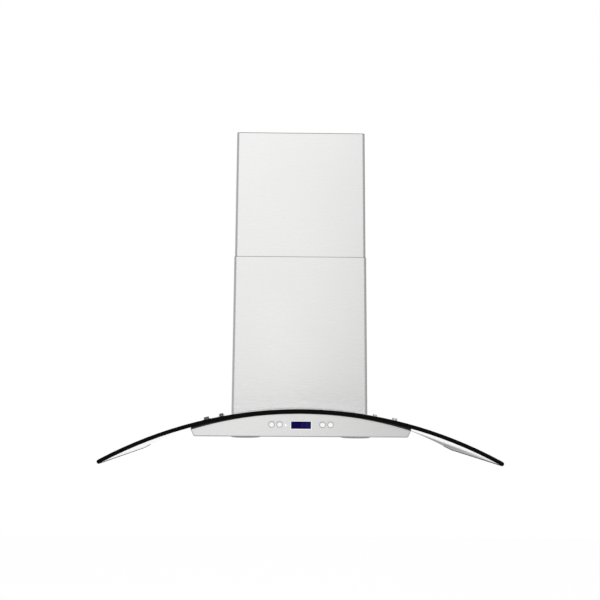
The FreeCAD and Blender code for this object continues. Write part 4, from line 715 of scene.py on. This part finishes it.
class HOOD_OT_edge_trims(bpy.types.Operator):
    """Makes the seal under the glass front, the dark bead under the fascia that paints a dark
    reflection, and the chimney's edge strips that paint shade lines
    """

    bl_idname = "hood.edge_trims"
    bl_label = "Edge Trims"

    def execute(self, context):
        colours = context.scene.hood_finishes
        sizes = context.scene.hood_sizes
        self.front_seal(
            sizes, moulded("front_seal_rubber", colours.enamel, (0.6, 0.75), 1100, 0.2)
        )
        # Painted reflection: a dark bead along the fascia's lower edge and ends.
        self.painted_reflection_bead(sizes, polished("drip_edge_metal", colours.trim, (0.3, 0.42)))
        # Painted shade: dark grey strips at the seam between the covers and on the upper cover's
        # top edge.
        painted_strip_shade = moulded("strip_felt", colours.painted_strip_shade, (0.8, 0.95), 900, 0.2)
        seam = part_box("lower_chimney")[1].z
        low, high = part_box("upper_chimney")
        gap = sizes.strip_gap
        self.cover_strip(
            "seam_strip", sizes, painted_strip_shade, ROOT_BODY, high.x + gap, -low.y + gap,
            (seam - sizes.strip_tuck, seam + sizes.seam_height),
        )
        self.cover_strip(
            "top_edge_strip", sizes, painted_strip_shade, SLIDING_BODY, high.x - gap, -low.y - gap,
            (high.z, high.z + sizes.top_height),
        )
        return {"FINISHED"}

    def front_seal(self, sizes, rubber):
        """A black seal on the fascia, deeper towards its ends where the fascia leaves the glass."""
        low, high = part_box("front_fascia")
        thick = sizes.seal_thickness
        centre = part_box("glass_canopy")[1].z - sizes.glass_outer_radius
        upper_arc = (sizes.glass_inner_radius, centre, thick)
        lower_arc = (sizes.seal_radius, high.z - sizes.seal_radius, thick * 4)
        seal, cutter = (
            started(
                bpy.ops.mesh.primitive_cylinder_add, "front_edge_seal", vertices=720,
                radius=radius, depth=depth, location=(0, low.y - thick / 2, height),
                rotation=(QUARTER_TURN, 0, 0),
            )
            for radius, height, depth in (upper_arc, lower_arc)
        )
        cut_out(seal, cutter)
        reach = high.x - sizes.seal_inset
        for place, direction in (
            ((reach, 0, 0), (1, 0, 0)), ((-reach, 0, 0), (-1, 0, 0)), ((0, 0, 0), (0, 0, -1))
        ):
            open_mesh(seal)
            bpy.ops.mesh.bisect(
                plane_co=place, plane_no=direction, use_fill=True, clear_outer=True
            )
        smoothed(seal, 12)
        finished(seal, ROOT_BODY, "black_rubber", rubber)

    def painted_reflection_bead(self, sizes, metal):
        """A thin rounded dark bead round the lower edge and the slanted ends of the fascia: a
        painted reflection, the dark line that the fascia's bent edge reflects from below.
        """
        low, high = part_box("front_fascia")
        deep = sizes.bead_depth
        rounding = deep * 0.35
        setback = deep * 0.55
        foot = sizes.bead_length / 2
        rise = sizes.bead_rise
        flare = high.x - foot
        lean = math.atan2(rise, flare)
        bars = [(0, -deep / 2, sizes.bead_length, 0)]
        for side in SIDES.values():
            across = side * (foot + flare / 2 + deep / 2 * math.sin(lean))
            bars.append((across, rise / 2 - deep / 2, math.hypot(rise, flare), -side * lean))
        beads = []
        for across, up, length, turn in bars:
            bead = started(
                bpy.ops.mesh.primitive_cube_add, "bead_pattern", (length, deep, deep), size=1
            )
            open_mesh(bead)
            pick(bead, lambda face: face.normal.z < -SQUARE)
            bpy.ops.mesh.bevel(offset=rounding, segments=3)
            put_down_tools()
            spot = placing(across, low.y + setback, up, turn)
            beads.append(copied(bead, "bead_copy", spot))
            thrown_away(bead)
        made = joined(beads, "fascia_drip_edge")
        smoothed(made)
        finished(made, ROOT_BODY, "brushed_steel", metal)

    def cover_strip(self, name, sizes, painted_strip_shade, body, half, depth, levels):
        """A thin strip round three sides of the chimney, with rounded front corners; its dark grey
        is painted shade, the shade line at the chimney's seam and top edge.
        """
        low, high = levels
        rear = sizes.strip_rear
        strip = started(
            bpy.ops.mesh.primitive_cube_add, name, (half * 2, depth - rear, high - low),
            size=1, location=(0, -(depth + rear) / 2, (low + high) / 2),
        )

        def is_open_side(face):
            return abs(face.normal.z) > SQUARE or face.normal.y > SQUARE

        def is_front_corner(edge):
            first, second = (vertex.co for vertex in edge.verts)
            upright = abs(first.z - second.z) > (high - low) / 2
            return upright and first.y < -depth / 2

        open_mesh(strip)
        pick(strip, is_open_side)
        bpy.ops.mesh.delete(type="FACE")
        pick(strip, is_front_corner, "EDGE")
        bpy.ops.mesh.bevel(offset=sizes.strip_bend, segments=6)
        walled(strip, sizes.strip_thickness, offset=0)
        smoothed(strip)
        finished(strip, body, "black_rubber", painted_strip_shade)


class HOOD_OT_fixings(bpy.types.Operator):
    """Makes the glass bolts and the chimney screws"""

    bl_idname = "hood.fixings"
    bl_label = "Bolts and Screws"

    def execute(self, context):
        colours = context.scene.hood_finishes
        sizes = context.scene.hood_sizes
        chrome = polished("polished_chrome", colours.chrome)
        zinc = spangled_zinc("spangled_zinc", colours.zinc)
        give(zinc, "glass_nuts", "chimney_wall_bracket", "chimney_side_brackets")
        # The left bolts get a darker copy of the chrome metal: painted shade.
        self.glass_bolts(sizes, chrome, polished("dark_bolt_metal", colours.bolt, (0.3, 0.45)))
        for node, body in (
            ("lower_chimney_screws", ROOT_BODY), ("upper_chimney_screws", SLIDING_BODY)
        ):
            self.chimney_screws(node, body, sizes.screw_height, chrome)
        return {"FINISHED"}

    def bolt_pattern(self, sizes):
        """A bolt with a collar and a six-sided socket, from where it meets the glass."""
        collar, head, shank = sizes.bolt_collar, sizes.bolt_head, sizes.bolt_shank
        end, top, ledge = -sizes.bolt_length, sizes.bolt_height, sizes.collar_height
        chamfer = sizes.bolt_chamfer
        bolt = turned(
            "bolt_pattern",
            [
                (shank * 0.8, end), (shank, end + shank * 0.2), (shank, 0), (collar, 0),
                (collar, ledge - chamfer), (collar * 0.93, ledge), (head, ledge),
                (head, top - chamfer * 3), (head * 0.94, top - chamfer), (head * 0.8, top),
            ],
        )
        socket = started(
            bpy.ops.mesh.primitive_cylinder_add, "socket_cutter", vertices=6,
            radius=head * 0.55, depth=sizes.socket_depth * 2, location=(0, 0, top),
        )
        cut_out(bolt, socket)
        smoothed(bolt)
        return bolt

    def glass_bolts(self, sizes, chrome, dark):
        """Four bolts that stand square on the glass arch, the left pair darkened as painted shade.
        """
        low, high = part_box("glass_bolts")
        outer = sizes.glass_outer_radius
        angle = math.asin(sizes.bolt_reach / outer)
        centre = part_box("glass_canopy")[1].z - outer
        height = centre + outer * math.cos(angle)
        bolt = self.bolt_pattern(sizes)
        bolts = []
        for side in SIDES.values():
            for row in (low.y + sizes.bolt_collar, high.y - sizes.bolt_collar):
                spot = placing(side * sizes.bolt_reach, row, height, side * angle)
                bolts.append(copied(bolt, "bolt_copy", spot))
        made = joined(bolts, "socket_glass_bolts")
        thrown_away(bolt)
        finished(made, ROOT_BODY, "chrome", chrome, "glass_bolts")
        # Painted shade: the left pair is the same chrome, given a darker tone.
        recoated(made, dark, lambda face: face.calc_center_median().x < 0)

    def chimney_screws(self, node, body, tall, chrome):
        """A pair of cross-recessed screws, one on each side of the chimney."""
        low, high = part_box(node)
        middle = middle_of(node)
        radius = (high.z - low.z) / 2
        shank = radius * 0.5
        screw = turned(
            "screw_pattern",
            [
                (shank, -tall * 2), (shank, 0), (radius, 0), (radius, tall * 0.3),
                (radius * 0.92, tall * 0.65), (radius * 0.7, tall * 0.9), (radius * 0.35, tall),
            ],
            sides=32,
        )
        for turn in (0, QUARTER_TURN):
            bar = started(
                bpy.ops.mesh.primitive_cube_add, "recess_bar", (radius * 1.1, radius * 0.26, tall),
                size=1, location=(0, 0, tall * 0.95), rotation=(0, 0, turn),
            )
            cut_out(screw, bar)
        smoothed(screw)
        pair = []
        for side, face in ((-1, low.x), (1, high.x)):
            spot = placing(face - side * tall, middle.y, middle.z, side * QUARTER_TURN)
            pair.append(copied(screw, "screw_copy", spot))
        made = joined(pair, "cross_" + node)
        thrown_away(screw)
        finished(made, body, "chrome", chrome, node)


class HOOD_OT_controls(bpy.types.Operator):
    """Finishes the buttons, display and indicator, and makes the figures and the rings round the
    buttons, whose grey is painted shade
    """

    bl_idname = "hood.controls"
    bl_label = "Controls"

    def execute(self, context):
        colours = context.scene.hood_finishes
        sizes = context.scene.hood_sizes
        white = moulded("white_button_plastic", colours.button, (0.28, 0.4), 2600, 0.02)
        give(white, *BUTTONS, "display_bezel")
        give(backlit("navy_display", colours.display, glow=0.1, cell=0.0006), "display_window")
        black = moulded("moulded_black_plastic", colours.black_plastic)
        give(black, "button_carrier", "tact_switches", "display_module")
        give(solder_mask("green_solder_mask", colours.board), "control_board")
        give(frosted("indicator_lens", colours.indicator, glow=0.8), "status_led")
        self.shade_rings(sizes, polished("trim_ring_metal", colours.button_ring_shade, (0.26, 0.38)))
        self.figures(sizes, backlit("faint_figures", colours.digit, glow=0.2, cell=0.0004))
        return {"FINISHED"}

    def shade_rings(self, sizes, metal):
        """A ring on the fascia round each button, in a grey that paints the shade round the button.
        """
        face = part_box("front_fascia")[0].y
        inner = sizes.cap_radius + sizes.rim_gap
        outer = inner + sizes.rim_width
        proud = sizes.rim_proud
        ring = turned(
            "ring_pattern",
            [
                (outer, 0), (outer, proud * 0.6), (outer - proud * 0.4, proud),
                (inner + proud * 0.3, proud), (inner, proud * 0.7), (inner, 0),
            ],
            open_middle=True,
        )
        smoothed(ring)
        for number, button in enumerate(BUTTONS, 1):
            middle = middle_of(button)
            spot = placing(middle.x, face, middle.z, QUARTER_TURN, "X")
            finished(copied(ring, "button_ring_%d" % number, spot), ROOT_BODY, "chrome", metal)
        thrown_away(ring)

    def figures(self, sizes, glow):
        """Four faint seven-stroke figures on the right half of the display."""
        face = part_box("display_window")[0].y
        middle = middle_of("display_window")
        tall = sizes.digit_height
        wide = tall * 0.5
        thick = tall * 0.1
        pitch = wide * 1.45
        pause = wide * 0.3
        first = middle.x - pitch * 0.2
        side, row, upright = wide / 2, tall / 4, QUARTER_TURN
        strokes = {
            "top": (0, tall / 2, 0), "middle": (0, 0, 0), "bottom": (0, -tall / 2, 0),
            "upper_left": (-side, row, upright), "upper_right": (side, row, upright),
            "lower_left": (-side, -row, upright), "lower_right": (side, -row, upright),
        }
        shapes = {
            "0": ("top", "bottom", "upper_left", "upper_right", "lower_left", "lower_right"),
            "1": ("upper_right", "lower_right"),
            "2": ("top", "middle", "bottom", "upper_right", "lower_left"),
        }
        stroke = started(
            bpy.ops.mesh.primitive_cube_add, "stroke_pattern",
            (tall / 2 - thick, sizes.digit_depth, thick), size=1,
        )

        def is_end(face):
            return abs(face.normal.x) > SQUARE

        open_mesh(stroke)
        pick(stroke, is_end)
        bpy.ops.mesh.extrude_faces_move(TRANSFORM_OT_shrink_fatten={"value": thick / 2})
        pick(stroke, is_end)
        bpy.ops.transform.resize(value=(1, 1, 0.15), center_override=(0, 0, 0))
        put_down_tools()
        parts = []
        for index, figure in enumerate("1200"):
            x = first + index * pitch + (pause if index > 1 else 0)
            for part in shapes[figure]:
                across, up, turn = strokes[part]
                spot = placing(x + across, face - sizes.digit_proud, middle.z + up, turn)
                parts.append(copied(stroke, "stroke_copy", spot))
        made = joined(parts, "display_figures")
        thrown_away(stroke)
        finished(made, ROOT_BODY, "display_navy", glow)


class HOOD_OT_lamps(bpy.types.Operator):
    """Makes the ribbed lamp lenses and finishes the lamp cups"""

    bl_idname = "hood.lamps"
    bl_label = "Lamps"

    def execute(self, context):
        colours = context.scene.hood_finishes
        lens_plastic = frosted("frosted_lens", colours.lens)
        cup = polished("spun_aluminium", colours.aluminium, (0.25, 0.36))
        trim = polished("lamp_trim_metal", colours.trim, (0.26, 0.38))
        for side in SIDES:
            node = side + "_lamp_lens"
            lens = self.lens_pattern(node, context.scene.hood_sizes.lens_ribs)
            middle = middle_of(node)
            made = copied(lens, "ribbed_" + node, placing(middle.x, middle.y, 0))
            thrown_away(lens)
            finished(made, ROOT_BODY, "lamp_lens", lens_plastic, node)
            give(cup, side + "_lamp_housing")
            give(trim, side + "_lamp_bezel")
        return {"FINISHED"}

    def lens_pattern(self, node, ribs):
        """A round lens with rings moulded into its lower face."""
        low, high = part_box(node)
        radius = (high.x - low.x) / 2
        rib = radius * 0.9 / ribs
        groove = low.z + (high.z - low.z) * 0.22
        steps = [(radius, high.z), (radius, groove)]
        for index in range(ribs):
            edge = radius * 0.96 - index * rib
            steps += [(edge, groove), (edge - rib * 0.35, low.z), (edge - rib * 0.75, low.z)]
        lens = turned("lens_pattern", steps)
        smoothed(lens, 25)
        return lens


class HOOD_OT_filters(bpy.types.Operator):
    """Finishes the grease filters, their hinges and latches"""

    bl_idname = "hood.filters"
    bl_label = "Grease Filters"

    def execute(self, context):
        colours = context.scene.hood_finishes
        satin = brushed_steel(
            "satin_filter_steel", colours.filter_steel, (1200, 6, 40), (220, 4, 20), (0.3, 0.44)
        )
        latch = moulded("latch_plastic", colours.black_plastic, (0.36, 0.5))
        for side in SIDES:
            give(satin, side + "_filter_frame", side + "_filter_baffles")
            give(latch, side + "_filter_latch")
        give(spangled_zinc("hinge_zinc", colours.zinc), "filter_hinge_ears")
        return {"FINISHED"}


class HOOD_OT_blower(bpy.types.Operator):
    """Finishes the motor box, blower, damper and electrical parts"""

    bl_idname = "hood.blower"
    bl_label = "Blower"

    def execute(self, context):
        colours = context.scene.hood_finishes
        zinc = spangled_zinc("motor_box_zinc", colours.zinc)
        give(zinc, "motor_box", "motor_bracket", "inlet_rings", "capacitor_clip", "damper_axle")
        grey = moulded("moulded_grey_plastic", colours.grey_plastic)
        give(grey, "blower_scroll", "impeller", "junction_box", "junction_cover")
        black = moulded("duct_black_plastic", colours.black_plastic, (0.4, 0.55), 1200)
        give(black, "outlet_collar", "front_damper_flap", "rear_damper_flap", "cable_gland")
        white = moulded("moulded_white_plastic", colours.white_plastic)
        give(white, "terminal_block", "capacitor")
        give(painted("motor_paint", colours.motor_paint), "motor_body")
        give(polished("ground_shaft", colours.aluminium, (0.18, 0.28)), "motor_shaft")
        return {"FINISHED"}


# Light that the steel reflects from the front: slope and start of each straight run of levels
BAND_TOP = (-12.0, 2.5)
BAND_FOOT = (25.0, 0.2)
FLOOR_SHADE = (-40.0, -1.6)
SIDE_FALL = (-15.0, -5.5)
RIGHTWARD_FALL = (-0.8, -0.38)
UPWARD_RISE = (0.36, 0.95)

# How much the bright band and the shade over the floor change it, and within which limits
FLOOR_FALL = 5.0
BAND_GAIN = 0.22
FLOOR_GAIN = -0.2
FALL_REACH = 0.15
FRONT_LIMITS = (0.42, 1.4)

# Paler patches on both sides: side, where each starts, and how much it adds
SIDE_PATCHES = ((-1.0, 0.085, 0.16), (1.0, 0.115, 0.1))
PATCH_END = 0.26
PATCH_SLOPE = 20.0

# Light that the glass reflects from behind, with a dark slanted card on the right
CARD_SLANT = 1.5
CARD_EDGE = (40.0, -6.05, 0.26)
CARD_END = (-8.0, 1.0)
RIGHT_SHADE = (-3.0, 1.9, 0.3)
LEFT_SHADE = (2.0, 1.6, 0.55)
REAR_SHARE = (2.5, 0.4)


class HOOD_OT_studio(bpy.types.Operator):
    """Sets the floor, light, background and camera"""

    bl_idname = "hood.studio"
    bl_label = "Studio"

    def execute(self, context):
        studio = context.scene.hood_studio
        side = studio.lamp_side
        self.floor(studio)
        self.background(context.scene, studio.soft_light)
        self.lamp("key_lamp", studio.key_power, side, (-1.5, -1.9, 2.4), degrees=(48, 0, -38))
        self.lamp("fill_lamp", studio.fill_power, side, (1.9, -1.6, 1.1), degrees=(66, 0, 50))
        self.camera(context.scene, studio)
        context.scene.view_settings.view_transform = "Standard"
        return {"FINISHED"}

    def floor(self, studio):
        """A pale floor that is white to the camera and keeps the shadow."""
        floor = started(
            bpy.ops.mesh.primitive_plane_add, "studio_floor",
            size=studio.floor_size, location=(0, 0, studio.floor_level),
        )
        material, tree = new_finish("pale_floor", {"Roughness": 0.9, "Specular IOR Level": 0.0})
        toned(tree, grain(tree, even(6), detail=3), (0.9, 0.9, 0.9), depth=0.01)
        seen = add_node(tree, "ShaderNodeLightPath").outputs["Is Camera Ray"]
        factors = {0: seen, 1: studio.floor_white}
        share = add_node(tree, "ShaderNodeMath", factors, operation="MULTIPLY").outputs["Value"]
        white = add_node(tree, "ShaderNodeEmission", {"Color": WHITE, "Strength": 1.03})
        pale = tree.nodes[SHADER].outputs["BSDF"]
        inputs = {"Fac": share, 1: pale, 2: white.outputs["Emission"]}
        mix = add_node(tree, "ShaderNodeMixShader", inputs)
        fill_in(tree.nodes["Material Output"], {"Surface": mix.outputs["Shader"]})
        floor.data.materials.append(material)

    def background(self, scene, soft_light):
        """Even light, white to the camera and through glass, shaded to the sides in reflections."""
        world = bpy.data.worlds.new("studio_world")
        scene.world = world
        world.use_nodes = True
        tree = world.node_tree
        path = add_node(tree, "ShaderNodeLightPath").outputs
        place = add_node(tree, "ShaderNodeTexCoord").outputs["Generated"]
        axes = add_node(tree, "ShaderNodeSeparateXYZ", {"Vector": place})
        across, along, up = (axes.outputs[axis] for axis in "XYZ")

        def worked(kind, first, second):
            node = add_node(tree, "ShaderNodeMath", {0: first, 1: second}, operation=kind)
            return node.outputs["Value"]

        def added(*values):
            total = values[0]
            for value in values[1:]:
                total = worked("ADD", total, value)
            return total

        def times(first, second):
            return worked("MULTIPLY", first, second)

        def held(value, low=0.0, high=1.0):
            return worked("MINIMUM", worked("MAXIMUM", value, low), high)

        def run(value, slope, start):
            return added(times(value, slope), start)

        def held_run(value, slope, start, low=0.0):
            return held(run(value, slope, start), low)

        band = times(held_run(up, *BAND_TOP), held_run(up, *BAND_FOOT))
        foot = held_run(up, *FLOOR_SHADE)
        bow = added(run(band, *SIDE_FALL), times(foot, FLOOR_FALL))
        fall = times(times(across, across), bow)
        tilt = times(held(across, -FALL_REACH, FALL_REACH), run(foot, *RIGHTWARD_FALL))
        lift = added(run(up, *UPWARD_RISE), times(band, BAND_GAIN), times(foot, FLOOR_GAIN))
        for side, start, gain in SIDE_PATCHES:
            outward = times(across, side)
            inner = held(times(worked("SUBTRACT", outward, start), PATCH_SLOPE))
            outer = held(times(worked("SUBTRACT", PATCH_END, outward), PATCH_SLOPE))
            lift = added(lift, times(times(inner, outer), gain))
        front = held(added(fall, tilt, lift), *FRONT_LIMITS)
        card = held_run(run(across, CARD_SLANT, up), *CARD_EDGE)
        card = worked("MAXIMUM", card, held_run(across, *CARD_END))
        ends = worked("MINIMUM", held_run(across, *LEFT_SHADE), held_run(across, *RIGHT_SHADE))
        rear = worked("MINIMUM", card, ends)
        level = mixed(tree, front, rear, share=held_run(along, *REAR_SHARE))
        soft = mixed(tree, soft_light, level, share=path["Is Glossy Ray"])
        seen = worked("MAXIMUM", path["Is Camera Ray"], path["Is Transmission Ray"])
        strength = mixed(tree, soft, 1.0, share=seen)
        fill_in(tree.nodes["Background"], {"Color": WHITE, "Strength": strength})

    def lamp(self, name, power, side, place, degrees):
        """One large soft lamp, kept out of the reflections."""
        light = bpy.data.lights.new(name, "AREA")
        light.energy = power
        light.size = side
        lamp = bpy.data.objects.new(name, light)
        lamp.location = place
        lamp.rotation_euler = [math.radians(turn) for turn in degrees]
        lamp.visible_glossy = False
        bpy.context.scene.collection.objects.link(lamp)

    def camera(self, scene, studio):
        """The camera at the photograph's angle."""
        data = bpy.data.cameras.new("studio_camera")
        data.lens = studio.camera_lens
        data.shift_x, data.shift_y = studio.camera_shift
        camera = bpy.data.objects.new("studio_camera", data)
        scene.collection.objects.link(camera)
        camera.matrix_world = (
            Matrix.Translation(studio.camera_place)
            @ Matrix.Rotation(studio.camera_pan, 4, "Z")
            @ Matrix.Rotation(QUARTER_TURN + studio.camera_tilt, 4, "X")
            @ Matrix.Rotation(studio.camera_roll, 4, "Z")
        )
        scene.camera = camera


class HOOD_PT_dresser(bpy.types.Panel):
    """Lists the hood's finishes, sizes and steps"""

    bl_idname = "HOOD_PT_dresser"
    bl_label = "Range Hood"
    bl_space_type = "VIEW_3D"
    bl_region_type = "UI"
    bl_category = "Range Hood"

    def draw(self, context):
        layout = self.layout
        for name in GROUPS:
            settings = getattr(context.scene, name)
            box = layout.box()
            for key in settings.__annotations__:
                box.prop(settings, key)
        for step in STEPS:
            layout.operator(step.bl_idname)


STEPS = (
    HOOD_OT_steel_work,
    HOOD_OT_canopy_glass,
    HOOD_OT_edge_trims,
    HOOD_OT_fixings,
    HOOD_OT_controls,
    HOOD_OT_lamps,
    HOOD_OT_filters,
    HOOD_OT_blower,
    HOOD_OT_studio,
)
GROUPS = {"hood_finishes": HoodFinishes, "hood_sizes": HoodSizes, "hood_studio": HoodStudio}


def register():
    for group in (*GROUPS.values(), *STEPS, HOOD_PT_dresser):
        bpy.utils.register_class(group)
    for name, group in GROUPS.items():
        setattr(bpy.types.Scene, name, PointerProperty(type=group))


def unregister():
    for name in GROUPS:
        delattr(bpy.types.Scene, name)
    for group in (HOOD_PT_dresser, *reversed(STEPS), *GROUPS.values()):
        bpy.utils.unregister_class(group)


def main():
    register()
    bpy.ops.hood.steel_work()
    bpy.ops.hood.canopy_glass()
    bpy.ops.hood.edge_trims()
    bpy.ops.hood.fixings()
    bpy.ops.hood.controls()
    bpy.ops.hood.lamps()
    bpy.ops.hood.filters()
    bpy.ops.hood.blower()
    bpy.ops.hood.studio()
    put_down_tools()


if __name__ == "__main__":
    main()
